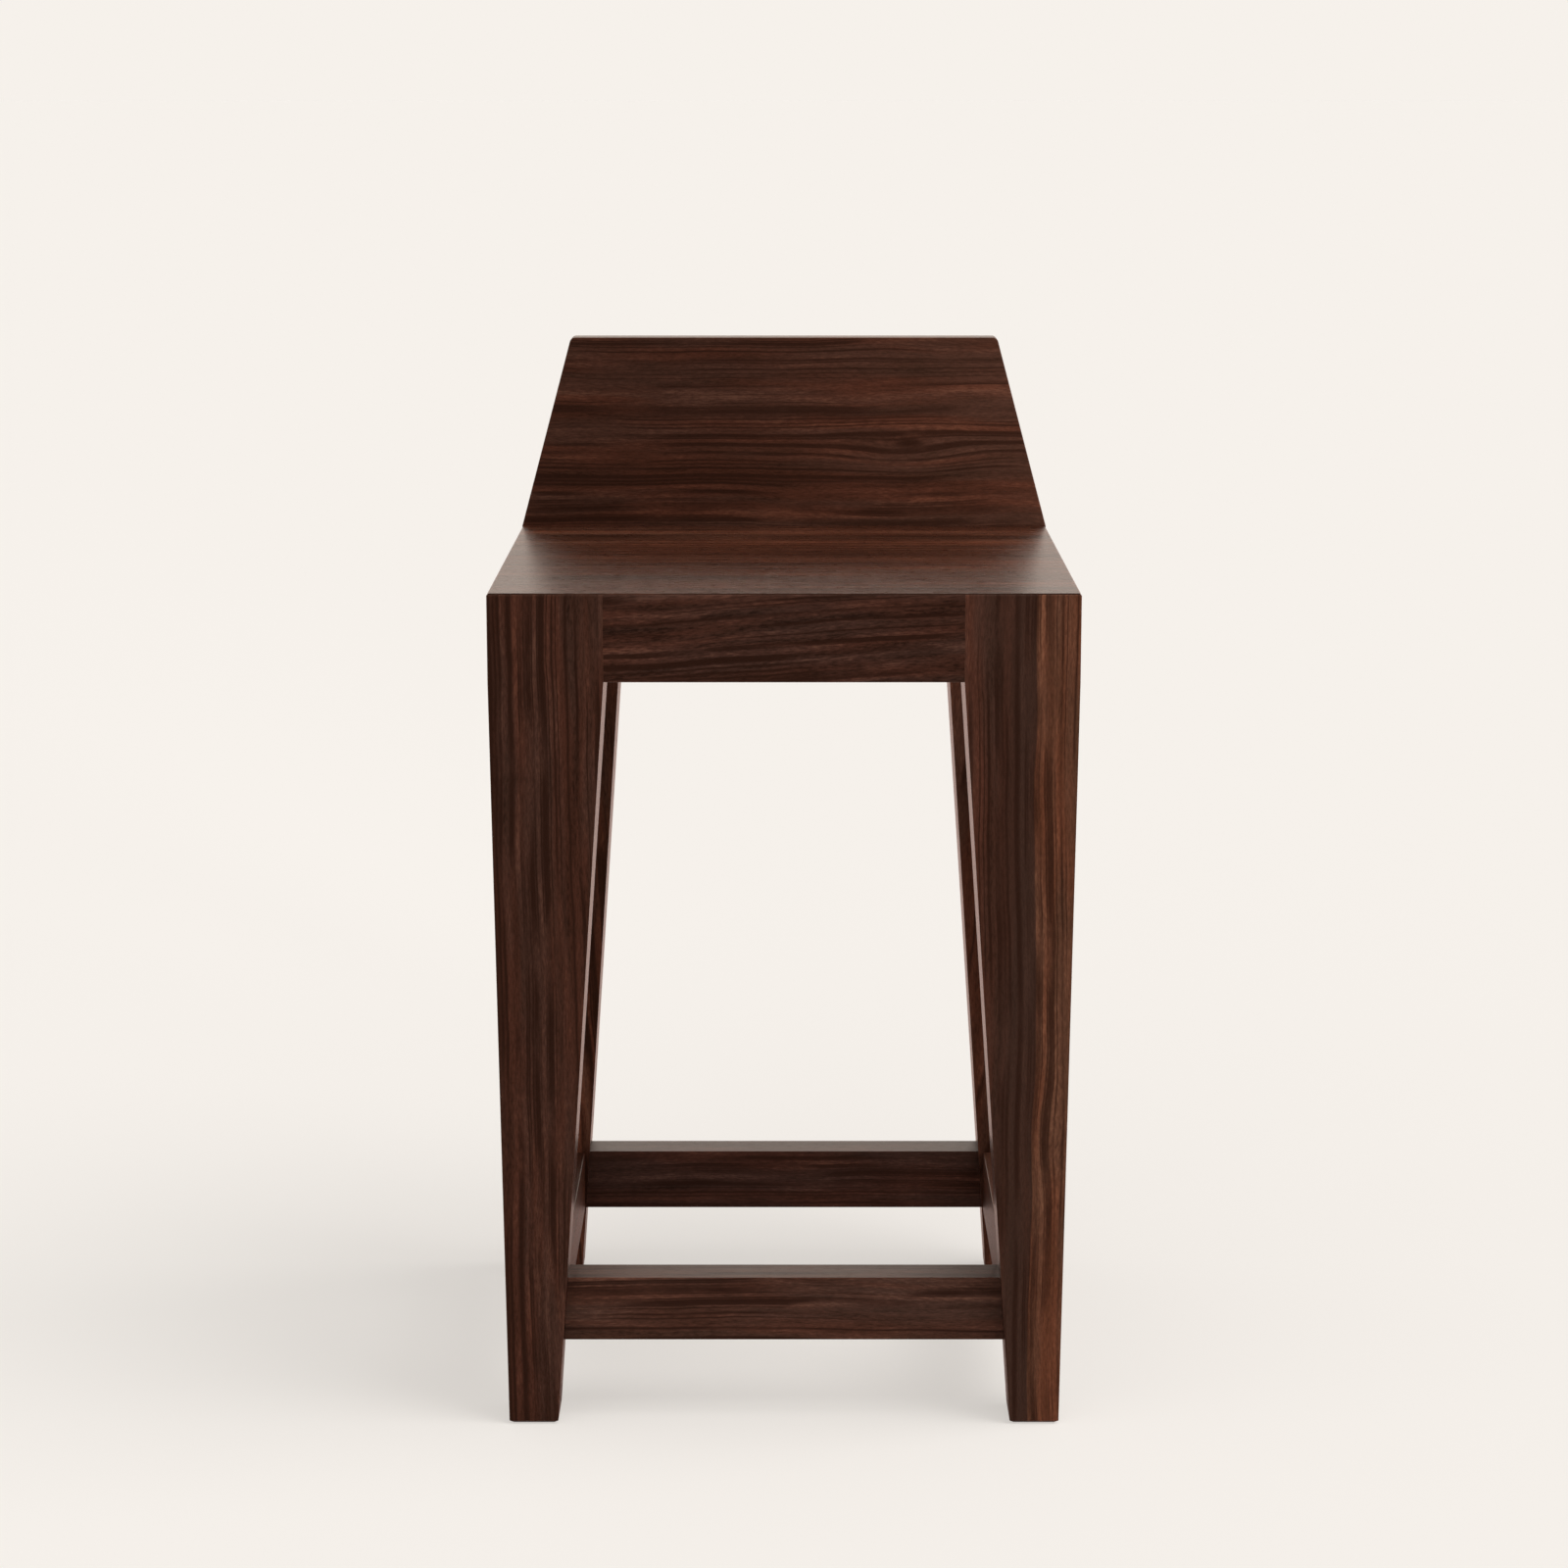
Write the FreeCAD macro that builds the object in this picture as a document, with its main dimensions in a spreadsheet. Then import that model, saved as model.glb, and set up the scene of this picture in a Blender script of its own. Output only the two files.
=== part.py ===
import FreeCAD, Part
import os
import re
import Sketcher
from FreeCAD import Placement, Rotation, Vector

# A backed counter stool: four tapered legs, aprons flush with their tops, a seat panel mitred to that frame,
# a low backrest board behind the seat, four stretchers and the fastenings under the seat.
# X runs across the seat, Y from front to back and Z up from the floor, in millimetres.
# The origin is on the floor, under the middle of the stool.

SIZES = {
    # Seat and frame
    "seat_width": 430,
    "seat_depth": 412,
    "seat_height": 635,
    "seat_thick": 20,
    "arris_ease": 1.6,
    # Legs, at the apron and at the foot, and how far their outer faces come in on the way down
    "leg_width": 84,
    "leg_depth": 80,
    "foot_width": 37,
    "foot_depth": 44,
    "side_lean": 7.5,
    "end_lean": 10,
    "foot_ease": 3,
    "foot_ease_rise": 2.2,
    # Aprons and their tenons
    "apron_height": 65,
    "apron_thick": 24,
    "apron_tenon": 36,
    "tenon_thick": 10,
    "tenon_shoulder": 8,
    # Backrest board
    "backrest_rise": 154,
    "backrest_thick": 22,
    "backrest_top_width": 347,
    "backrest_corner": 4.5,
    # Stretchers, how far they stay within the legs' inner faces, and their tenons
    "stretcher_bottom": 62,
    "stretcher_height": 49,
    "stretcher_thick": 32,
    "stretcher_margin": 0.8,
    "stretcher_tenon": 22,
    "stretcher_tenon_thick": 12,
    "stretcher_tenon_gap": 3,
    "stretcher_shoulder": 6,
    # Cleats that carry the seat, and the places of the screws, from the ends of the aprons
    "cleat_size": 20,
    "cleat_end_gap": 1,
    "cleat_screw_margin": 40,
    "seat_screw_step": 40,
    "backrest_screw_margin": 35,
    # Countersunk wood screws, and how far they go into the second piece
    "screw_bite": 12,
    "screw_radius": 2,
    "screw_head_radius": 4,
    "screw_head_rise": 2.2,
    "screw_tip": 6,
    "screw_slot_reach": 2.4,
    "screw_slot_width": 0.9,
    "screw_slot_depth": 1.4,
    # Dowels between the rear legs and the backrest board
    "dowel_radius": 4,
    "dowel_in_leg": 25,
    "dowel_in_board": 13,
    "dowel_bevel": 1,
    "dowel_margin": 10,
    # Foot glides, let into the soles and held by a stem
    "glide_radius": 12.5,
    "glide_thick": 3,
    "glide_stand": 0.6,
    "glide_bevel": 0.4,
    "glide_stem_radius": 4,
    "glide_stem": 18,
    # Clearances
    "fit_gap": 0.1,
    "round_gap": 0.3,
    "glue_room": 1,
}

HALF_WIDTH = "(seat_width / 2)"
HALF_DEPTH = "(seat_depth / 2)"
SEAT_UNDER = "(seat_height - seat_thick)"
APRON_BOTTOM = "(seat_height - apron_height)"
TAPER_FOOT = "(glide_stand + foot_ease_rise)"
STRETCHER_TOP = "(stretcher_bottom + stretcher_height)"
STRETCHER_MIDDLE = "(stretcher_bottom + stretcher_height / 2)"
FOOT_X = "(side_lean + foot_width / 2)"
FOOT_Y = "(end_lean + foot_depth / 2)"
BOARD_FRONT = f"({HALF_DEPTH} - backrest_thick)"
CLEAT_BOTTOM = f"({SEAT_UNDER} - cleat_size)"
CLEAT_MIDDLE = f"({SEAT_UNDER} - cleat_size / 2)"
APRON_TENON_HEIGHTS = f"({APRON_BOTTOM} + tenon_shoulder)", f"({SEAT_UNDER} - tenon_shoulder)"
STRETCHER_TENON_HEIGHT = "((stretcher_height - stretcher_tenon_gap) / 2 - stretcher_shoulder)"
BORE_RADIUS = "(screw_radius + round_gap)"
BITE_DEPTH = "(screw_bite + glue_room)"
# How far a cutter runs past the face that it cuts
OVERRUN = "5"
# Two levels closer than this count as one
SAME_LEVEL = 0.001

LEFT, RIGHT = -1, 1
FRONT, REAR = -1, 1
SIDES = {"left": LEFT, "right": RIGHT}
ENDS = {"front": FRONT, "rear": REAR}
ADD, CUT = "Additive", "Subtractive"
UPRIGHT = Placement(Vector(), Rotation(Vector(1, 0, 0), 90))
UP = Vector(0, 0, 1)
BACKWARDS = Vector(0, 1, 0)


def bound(formula):
    """A formula of size names as an expression on the sheet of sizes."""
    return re.sub(r"[a-z][a-z_]*", r"Sizes.\g<0>", str(formula))


def bind(thing, formulas):
    """Tie each named property of a thing to its formula."""
    for name, formula in formulas.items():
        thing.setExpression(name, bound(formula))


def tapered(at_foot, at_apron, height):
    """A measure of the leg that changes evenly from its foot to the apron's lower edge."""
    rise = f"({height} - {TAPER_FOOT}) / ({APRON_BOTTOM} - {TAPER_FOOT})"
    return f"({at_foot} + ({at_apron} - {at_foot}) * {rise})"


def leg_side_inner(height):
    return tapered("(side_lean + foot_width)", "leg_width", height)


def leg_end_inner(height):
    return tapered("(end_lean + foot_depth)", "leg_depth", height)


def inset(sign, half, distance):
    """A place that lies a distance in from the outer face on the named side of the middle."""
    return f"({half} - {distance})" if sign > 0 else f"({distance} - {half})"


def inset_range(sign, half, near, far):
    """The low and high ends of a stretch between two such places."""
    ends = inset(sign, half, near), inset(sign, half, far)
    return ends[::-1] if sign > 0 else ends


def both_ways(reach):
    return f"(-{reach})", reach


class Rail:
    """One side of the stool: the direction that its apron, cleat and stretcher run in, and their places."""

    def __init__(self, name, runs_across, sign):
        self.name = name
        self.runs_across = runs_across
        self.sign = sign
        self.behind = "backrest_thick" if name == "rear" else "0"
        self.half_outer = HALF_DEPTH if runs_across else HALF_WIDTH
        self.half_span = HALF_WIDTH if runs_across else HALF_DEPTH
        self.leg_size = "leg_width" if runs_across else "leg_depth"
        self.half_length = f"({self.half_span} - {self.leg_size})"
        self.section_plane = "YZ_Plane" if runs_across else "XZ_Plane"
        self.outline_plane = "XZ_Plane" if runs_across else "YZ_Plane"

    def swap(self, along, inward):
        """Put a measure along the rail and one across it in the order X, Y."""
        return (along, inward) if self.runs_across else (inward, along)

    def spot(self, along, distance):
        return self.swap(along, inset(self.sign, self.half_outer, distance))

    def ranges(self, reach, near, far):
        return self.swap(both_ways(reach), inset_range(self.sign, self.half_outer, near, far))

    def outwards(self):
        return Vector(*self.swap(0, self.sign), 0)

    def apron_inner(self):
        return f"({self.behind} + apron_thick)"

    def cleat_inner(self):
        return f"({self.apron_inner()} + cleat_size)"

    def cleat_screw_reach(self):
        return f"({self.half_length} - cleat_screw_margin)"

    def apron_tenon_range(self):
        margin = "(apron_thick - tenon_thick) / 2"
        return f"({self.behind} + {margin})", f"({self.behind} + apron_thick - {margin})"

    def stretcher_range(self):
        leg_inner = leg_end_inner if self.runs_across else leg_side_inner
        far = f"({leg_inner('stretcher_bottom')} - stretcher_margin)"
        return f"({far} - stretcher_thick)", far

    def stretcher_tenon_range(self):
        near, far = self.stretcher_range()
        margin = "(stretcher_thick - stretcher_tenon_thick) / 2"
        return f"({near} + {margin})", f"({far} - {margin})"

    def stretcher_tenon_heights(self):
        """Tenons of rails that meet in one leg lie one above the other."""
        if self.runs_across:
            top = f"({STRETCHER_TOP} - stretcher_shoulder)"
            return f"({top} - {STRETCHER_TENON_HEIGHT})", top
        low = "(stretcher_bottom + stretcher_shoulder)"
        return low, f"({low} + {STRETCHER_TENON_HEIGHT})"

    def leg_face(self, height):
        """How far in the leg's face lies that this rail's end meets, at a height."""
        return leg_side_inner(height) if self.runs_across else leg_end_inner(height)

    def stretcher_reach(self, height):
        """Half the distance between the legs' inner faces at a height."""
        return f"({self.half_span} - {self.leg_face(height)})"


RAILS = {
    "front": Rail("front", True, FRONT),
    "rear": Rail("rear", True, REAR),
    "left": Rail("left", False, LEFT),
    "right": Rail("right", False, RIGHT),
}


def make_sheet(doc):
    sheet = doc.addObject("Spreadsheet::Sheet", "Sizes")
    for row, (alias, size) in enumerate(SIZES.items(), start=1):
        sheet.set(f"A{row}", alias.replace("_", " "))
        sheet.set(f"B{row}", str(size))
        sheet.setAlias(f"B{row}", alias)
    doc.recompute()


def new_body(doc, name):
    body = doc.addObject("PartDesign::Body", name)
    body.Label = name
    return body


def box(body, kind, name, x, y, z):
    """A block between low and high formulas on each axis."""
    block = body.newObject(f"PartDesign::{kind}Box", name)
    for size, axis, (low, high) in (("Length", "x", x), ("Width", "y", y), ("Height", "z", z)):
        bind(block, {size: f"{high} - {low}", f"Placement.Base.{axis}": low})


def wedge(body, kind, name, low, high):
    """A block whose lower and upper outlines differ; each outline is an X range, a Y range and a height."""
    block = body.newObject(f"PartDesign::{kind}Wedge", name)
    block.Placement = UPRIGHT
    for level, (x, y, z) in (("", low), ("2", high)):
        bind(block, {f"X{level}min": x[0], f"X{level}max": x[1]})
        bind(block, {f"Z{level}min": f"-{y[1]}", f"Z{level}max": f"-{y[0]}"})
        bind(block, {"Ymax" if level else "Ymin": z})


def turned_to(feature, start, axis):
    """Stand a round feature on its start point, along an axis."""
    feature.Placement = Placement(Vector(), Rotation(UP, axis))
    bind(feature, {f"Placement.Base.{name}": place for name, place in zip("xyz", start)})


def bore(body, name, start, axis, radius, depth):
    hole = body.newObject("PartDesign::SubtractiveCylinder", name)
    bind(hole, {"Radius": radius, "Height": depth})
    turned_to(hole, start, axis)


def countersink(body, name, start, axis):
    """The conical mouth that a screw's head sits in, on the face where the screw starts."""
    mouth = body.newObject("PartDesign::SubtractiveCone", name)
    bind(mouth, {"Radius1": "screw_head_radius + round_gap", "Radius2": BORE_RADIUS})
    bind(mouth, {"Height": "screw_head_rise"})
    turned_to(mouth, start, axis)


def outline(body, name, plane, corners, offset="0"):
    """A closed sketch of straight edges whose corners are formulas of the sizes."""
    sketch = body.newObject("Sketcher::SketchObject", name)
    support = next(feature for feature in body.Origin.OriginFeatures if feature.Role == plane)
    sketch.AttachmentSupport = (support, [""])
    sketch.MapMode = "FlatFace"
    bind(sketch, {"AttachmentOffset.Base.z": offset})
    points = [Vector(*[float(body.evalExpression(bound(place))) for place in corner]) for corner in corners]
    for start, stop in zip(points, points[1:] + points[:1]):
        sketch.addGeometry(Part.LineSegment(start, stop))
    for edge, corner in enumerate(corners):
        sketch.addConstraint(Sketcher.Constraint("Coincident", edge, 2, (edge + 1) % len(corners), 1))
        pin_corner(sketch, edge, corner, points[edge])
    return sketch


def pin_corner(sketch, edge, corner, point):
    """Hold an edge's first corner at its two formulas, or on the axis where a formula is 0."""
    for kind, axis, formula, value in zip(("DistanceX", "DistanceY"), (-2, -1), corner, point):
        if formula == "0":
            sketch.addConstraint(Sketcher.Constraint("PointOnObject", edge, 1, axis))
        else:
            number = sketch.addConstraint(Sketcher.Constraint(kind, -1, 1, edge, 1, value))
            bind(sketch, {f"Constraints[{number}]": formula})


def pad(body, name, sketch, length):
    """Thicken a sketch evenly to both sides of its plane."""
    feature = body.newObject("PartDesign::Pad", name)
    feature.Profile = sketch
    feature.SideType = "Symmetric"
    bind(feature, {"Length": length})
    return feature


def turn_profile(body, name, corners):
    """A round piece turned about the vertical axis from half of its section."""
    feature = body.newObject("PartDesign::Revolution", name)
    sketch = outline(body, f"{name}_profile", "XZ_Plane", corners)
    feature.Profile = sketch
    feature.ReferenceAxis = (sketch, ["V_Axis"])
    feature.Angle = 360


def grown(stretch, gap):
    """A low and high formula, each moved outwards by a gap."""
    return f"({stretch[0]} - {gap})", f"({stretch[1]} + {gap})"


def make_leg(doc, name, side, end):
    """A leg: a square block at the apron, tapered below on all four faces, with a bevel around its sole."""
    body = new_body(doc, name)
    behind = RAILS["front" if end == FRONT else "rear"].behind

    def section(height, side_near, side_far, end_near, end_far):
        x = inset_range(side, HALF_WIDTH, side_near, side_far)
        return x, inset_range(end, HALF_DEPTH, end_near, end_far), height

    sole = section("glide_stand", "(side_lean + foot_ease)", "(side_lean + foot_width - foot_ease)",
                   "(end_lean + foot_ease)", "(end_lean + foot_depth - foot_ease)")
    foot = section(TAPER_FOOT, "side_lean", "(side_lean + foot_width)", "end_lean", "(end_lean + foot_depth)")
    shoulder = section(APRON_BOTTOM, "0", "leg_width", "0", "leg_depth")
    wedge(body, ADD, f"{name}_sole", sole, foot)
    wedge(body, ADD, f"{name}_taper", foot, shoulder)
    arris_height = "(seat_height - arris_ease)"
    block = section(arris_height, "0", "leg_width", behind, "leg_depth")
    box(body, ADD, f"{name}_block", block[0], block[1], (APRON_BOTTOM, arris_height))
    eased_end = behind if end == REAR else "arris_ease"
    eased = section("seat_height", "arris_ease", "leg_width", eased_end, "leg_depth")
    wedge(body, ADD, f"{name}_arris", block, eased)
    cut_seat_mitre(body, name, section, end)
    cut_mortises(body, name, side, end)
    foot_middle = inset(side, HALF_WIDTH, FOOT_X), inset(end, HALF_DEPTH, FOOT_Y)
    bore(body, f"{name}_glide_recess", (*foot_middle, "glide_stand"), UP,
         "glide_radius + round_gap", "glide_thick - glide_stand")
    bore(body, f"{name}_glide_hole", (*foot_middle, "glide_thick"), UP,
         "glide_stem_radius + round_gap", "glide_stem + glue_room")
    if end == REAR:
        for number, (spot, height) in enumerate(dowel_places(side)):
            bore(body, f"{name}_dowel_hole_{number}", (spot, BOARD_FRONT, height), -BACKWARDS,
                 "dowel_radius + round_gap", "dowel_in_leg + glue_room")
    return body


def cut_seat_mitre(body, name, section, end):
    """Take away the room of the seat panel, which leaves a mitred rim at the leg's outer faces."""
    far_x, far_y = f"(leg_width + {OVERRUN})", f"(leg_depth + {OVERRUN})"
    past_rim = f"(-{OVERRUN})"
    behind = f"(backrest_thick - {OVERRUN})"
    low_end, high_end = ("seat_thick", past_rim) if end == FRONT else (behind, behind)
    low = section(SEAT_UNDER, "seat_thick", far_x, low_end, far_y)
    high = section(f"(seat_height + {OVERRUN})", past_rim, far_x, high_end, far_y)
    wedge(body, CUT, f"{name}_seat_mitre", low, high)


def cut_mortise(body, name, rail, sign, near_far, bottom, heights):
    """The hole for a rail's tenon, from the leg's inner face down to its bottom, with room for glue."""
    width = inset_range(rail.sign, rail.half_outer, *grown(near_far, "fit_gap"))
    depth = inset_range(sign, rail.half_span, f"({bottom} - glue_room)", f"({rail.leg_size} + {OVERRUN})")
    x, y = rail.swap(depth, width)
    box(body, CUT, name, x, y, grown(heights, "fit_gap"))


def cut_mortises(body, name, side, end):
    """The four mortises of a leg: two for apron tenons and two for stretcher tenons."""
    across = RAILS["front" if end == FRONT else "rear"]
    along = RAILS["left" if side == LEFT else "right"]
    for rail, sign in ((across, side), (along, end)):
        bottom = f"({rail.leg_size} - apron_tenon)"
        cut_mortise(body, f"{name}_{rail.name}_apron_mortise", rail, sign,
                    rail.apron_tenon_range(), bottom, APRON_TENON_HEIGHTS)
        bottom = f"({rail.leg_face(STRETCHER_MIDDLE)} - stretcher_tenon)"
        cut_mortise(body, f"{name}_{rail.name}_stretcher_mortise", rail, sign,
                    rail.stretcher_tenon_range(), bottom, rail.stretcher_tenon_heights())


def make_apron(doc, rail):
    """A rail between two legs, with a mitred top edge where the seat panel meets it."""
    body = new_body(doc, f"{rail.name}_apron")

    def corner(distance, height):
        return inset(rail.sign, rail.half_outer, distance), height

    inner = rail.apron_inner()
    corners = [corner(inner, SEAT_UNDER), corner(inner, APRON_BOTTOM), corner(rail.behind, APRON_BOTTOM)]
    if rail.name == "rear":
        corners.append(corner(rail.behind, SEAT_UNDER))
    else:
        corners.append(corner("0", "(seat_height - arris_ease)"))
        corners.append(corner("(arris_ease / 2)", "(seat_height - arris_ease / 2)"))
        corners.append(corner("seat_thick", SEAT_UNDER))
    sketch = outline(body, f"{rail.name}_apron_section", rail.section_plane, corners)
    pad(body, f"{rail.name}_apron_board", sketch, f"{rail.half_length} * 2")
    x, y = rail.ranges(f"({rail.half_length} + apron_tenon)", *rail.apron_tenon_range())
    box(body, ADD, f"{rail.name}_apron_tenons", x, y, APRON_TENON_HEIGHTS)
    drill_apron(body, rail)
    return body


def drill_apron(body, rail):
    """Bores for the screws of the cleat and, in the rear apron, of the backrest board."""
    for number, along in enumerate(both_ways(rail.cleat_screw_reach())):
        start = (*rail.spot(along, rail.apron_inner()), CLEAT_MIDDLE)
        bore(body, f"{rail.name}_apron_bore_{number}", start, rail.outwards(), BORE_RADIUS, BITE_DEPTH)
    if rail.name == "rear":
        for number, start in enumerate(backrest_screw_places()):
            bore(body, f"backrest_screw_bore_{number}", start, BACKWARDS, BORE_RADIUS, "apron_thick")
            countersink(body, f"backrest_screw_mouth_{number}", start, BACKWARDS)


def make_stretcher(doc, rail):
    """A foot rail whose ends follow the taper of the legs, with a tenon at each end."""
    name = f"{rail.name}_stretcher"
    body = new_body(doc, name)
    low, high = rail.stretcher_reach("stretcher_bottom"), rail.stretcher_reach(STRETCHER_TOP)
    corners = [(f"(-{low})", "stretcher_bottom"), (low, "stretcher_bottom"),
               (high, STRETCHER_TOP), (f"(-{high})", STRETCHER_TOP)]
    near, far = rail.stretcher_range()
    middle = inset(rail.sign, rail.half_outer, f"(({near} + {far}) / 2)")
    offset = f"-{middle}" if rail.runs_across else middle
    sketch = outline(body, f"{name}_outline", rail.outline_plane, corners, offset)
    pad(body, f"{name}_bar", sketch, "stretcher_thick")
    reach = f"({rail.stretcher_reach(STRETCHER_MIDDLE)} + stretcher_tenon)"
    x, y = rail.ranges(reach, *rail.stretcher_tenon_range())
    box(body, ADD, f"{name}_tenons", x, y, rail.stretcher_tenon_heights())
    return body


def dowel_places(side):
    """X and height of each dowel between a rear leg and the backrest board, clear of the apron mortises."""
    side_mortise = "(apron_thick + tenon_thick) / 2"
    rear_mortise = "(leg_width - apron_tenon - glue_room)"
    spot = inset(side, HALF_WIDTH, f"(({side_mortise} + {rear_mortise}) / 2)")
    return (spot, f"({APRON_BOTTOM} + dowel_margin)"), (spot, f"({SEAT_UNDER} - dowel_margin)")


def backrest_screw_places():
    """Where the backrest screws start: evenly along the rear apron's inner face, midway below its cleat."""
    inner_face = f"({BOARD_FRONT} - apron_thick)"
    height = f"(({APRON_BOTTOM} + {CLEAT_BOTTOM}) / 2)"
    reach = f"({RAILS['rear'].half_length} - backrest_screw_margin)"
    return [(f"({reach} * {third} / 3)", inner_face, height) for third in (-3, -1, 1, 3)]


def seat_screw_places(rail):
    """Where a cleat's seat screws start, on the underside of the cleat."""
    middle = f"({rail.apron_inner()} + cleat_size / 2)"
    reach = f"({rail.cleat_screw_reach()} - seat_screw_step)"
    return [(*rail.spot(along, middle), CLEAT_BOTTOM) for along in both_ways(reach)]


def cleat_screw_places(rail):
    """Where a cleat's own screws start, on its inner face."""
    reach = rail.cleat_screw_reach()
    return [(*rail.spot(along, rail.cleat_inner()), CLEAT_MIDDLE) for along in both_ways(reach)]


def make_seat(doc):
    """The seat panel, mitred in front and at both sides and square against the backrest board."""
    body = new_body(doc, "seat_panel")

    def level(rim, height):
        return both_ways(f"({HALF_WIDTH} - {rim})"), (inset(FRONT, HALF_DEPTH, rim), BOARD_FRONT), height

    middle = level("(arris_ease / 2)", "(seat_height - arris_ease / 2)")
    wedge(body, ADD, "seat_mitred_part", level("seat_thick", SEAT_UNDER), middle)
    wedge(body, ADD, "seat_arris", middle, level("arris_ease", "seat_height"))
    for rail in RAILS.values():
        for number, (x, y, _) in enumerate(seat_screw_places(rail)):
            bore(body, f"seat_bore_{rail.name}_{number}", (x, y, SEAT_UNDER), UP, BORE_RADIUS, BITE_DEPTH)
    return body


def make_backrest(doc):
    """The backrest board: square between apron and seat, then drawn in to its narrower top."""
    body = new_body(doc, "backrest_board")
    top = "(seat_height + backrest_rise)"
    half_top = "(backrest_top_width / 2)"
    right = [(HALF_WIDTH, APRON_BOTTOM), (HALF_WIDTH, "seat_height"), (half_top, top)]
    corners = right + [(f"(-{x})", height) for x, height in reversed(right)]
    sketch = outline(body, "backrest_outline", "XZ_Plane", corners, f"-({HALF_DEPTH} - backrest_thick / 2)")
    board = pad(body, "backrest_blank", sketch, "backrest_thick")
    doc.recompute()
    rounding = body.newObject("PartDesign::Fillet", "backrest_corners")
    rounding.Base = (board, top_corner_edges(board.Shape))
    bind(rounding, {"Radius": "backrest_corner"})
    for side_name, side in SIDES.items():
        for number, (x, height) in enumerate(dowel_places(side)):
            bore(body, f"board_dowel_hole_{side_name}_{number}", (x, BOARD_FRONT, height), BACKWARDS,
                 "dowel_radius + round_gap", "dowel_in_board + glue_room")
    for number, (x, _, height) in enumerate(backrest_screw_places()):
        bore(body, f"board_screw_bore_{number}", (x, BOARD_FRONT, height), BACKWARDS, BORE_RADIUS, BITE_DEPTH)
    return body


def top_corner_edges(shape):
    """The edges across the board's thickness at its highest level."""
    def is_top_corner(edge):
        extent = edge.BoundBox
        runs_through = extent.YLength > max(extent.XLength, extent.ZLength)
        return runs_through and shape.BoundBox.ZMax - extent.ZMin < SAME_LEVEL

    return [f"Edge{number}" for number, edge in enumerate(shape.Edges, start=1) if is_top_corner(edge)]


def make_cleat(doc, rail):
    """A batten inside an apron, with countersunk bores for its own screws and for the seat's."""
    name = f"{rail.name}_seat_cleat"
    body = new_body(doc, name)
    x, y = rail.ranges(f"({rail.half_length} - cleat_end_gap)", rail.apron_inner(), rail.cleat_inner())
    box(body, ADD, f"{name}_batten", x, y, (CLEAT_BOTTOM, SEAT_UNDER))
    ways = [(start, rail.outwards()) for start in cleat_screw_places(rail)]
    ways += [(start, UP) for start in seat_screw_places(rail)]
    for number, (start, axis) in enumerate(ways):
        bore(body, f"{name}_bore_{number}", start, axis, BORE_RADIUS, "cleat_size")
        countersink(body, f"{name}_mouth_{number}", start, axis)
    return body


def make_screw(doc, name, first_piece):
    """A countersunk screw with a cross slot for a first piece of known thickness.

    The face of its head is at the origin and it points up.
    """
    body = new_body(doc, name)
    length = f"({first_piece} + screw_bite)"
    corners = [("0", "0"), ("screw_head_radius", "0"), ("screw_radius", "screw_head_rise"),
               ("screw_radius", f"({length} - screw_tip)"), ("0", length)]
    turn_profile(body, f"{name}_turned", corners)
    reach, half_width = both_ways("screw_slot_reach"), both_ways("(screw_slot_width / 2)")
    depth = f"(-{OVERRUN})", "screw_slot_depth"
    box(body, CUT, f"{name}_slot_across", reach, half_width, depth)
    box(body, CUT, f"{name}_slot_along", half_width, reach, depth)
    return body


def make_dowel(doc):
    """A bevelled dowel along the vertical axis, with its lower end in the leg."""
    body = new_body(doc, "dowel")
    length = "(dowel_in_leg + dowel_in_board)"
    neck = "(dowel_radius - dowel_bevel)"
    corners = [("0", "0"), (neck, "0"), ("dowel_radius", "dowel_bevel"),
               ("dowel_radius", f"({length} - dowel_bevel)"), (neck, length), ("0", length)]
    turn_profile(body, "dowel_turned", corners)
    return body


def make_glide(doc, name, side, end):
    """A foot glide: a bevelled disc in the sole's recess with a stem up into the leg."""
    body = new_body(doc, name)
    stem_top = "(glide_thick + glide_stem)"
    corners = [("0", "0"), ("(glide_radius - glide_bevel)", "0"), ("glide_radius", "glide_bevel"),
               ("glide_radius", "glide_thick"), ("glide_stem_radius", "glide_thick"),
               ("glide_stem_radius", stem_top), ("0", stem_top)]
    turn_profile(body, f"{name}_turned", corners)
    bind(body, {"Placement.Base.x": inset(side, HALF_WIDTH, FOOT_X),
                "Placement.Base.y": inset(end, HALF_DEPTH, FOOT_Y)})
    return body


def make_group(doc, name, pattern, places):
    """Copies of one fastener, each at a start point and along an axis, kept as separate solids."""
    copies = []
    for number, (start, axis) in enumerate(places):
        copy = doc.addObject("App::Link", f"{name}_{number}")
        copy.LinkedObject = pattern
        turned_to(copy, start, axis)
        copies.append(copy)
    group = doc.addObject("Part::Compound", name)
    group.Label = name
    group.Links = copies
    return group


def make_fasteners(doc):
    """The groups of screws and dowels."""
    cleat_screw = make_screw(doc, "cleat_screw", "cleat_size")
    board_screw = make_screw(doc, "board_screw", "apron_thick")
    dowel = make_dowel(doc)
    cleat_ways = [(start, rail.outwards()) for rail in RAILS.values() for start in cleat_screw_places(rail)]
    seat_ways = [(start, UP) for rail in RAILS.values() for start in seat_screw_places(rail)]
    board_ways = [(start, BACKWARDS) for start in backrest_screw_places()]
    dowel_ways = [((x, f"({BOARD_FRONT} - dowel_in_leg)", height), BACKWARDS)
                  for side in SIDES.values() for x, height in dowel_places(side)]
    return [
        make_group(doc, "cleat_screws", cleat_screw, cleat_ways),
        make_group(doc, "seat_screws", cleat_screw, seat_ways),
        make_group(doc, "backrest_screws", board_screw, board_ways),
        make_group(doc, "backrest_dowels", dowel, dowel_ways),
    ]


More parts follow.
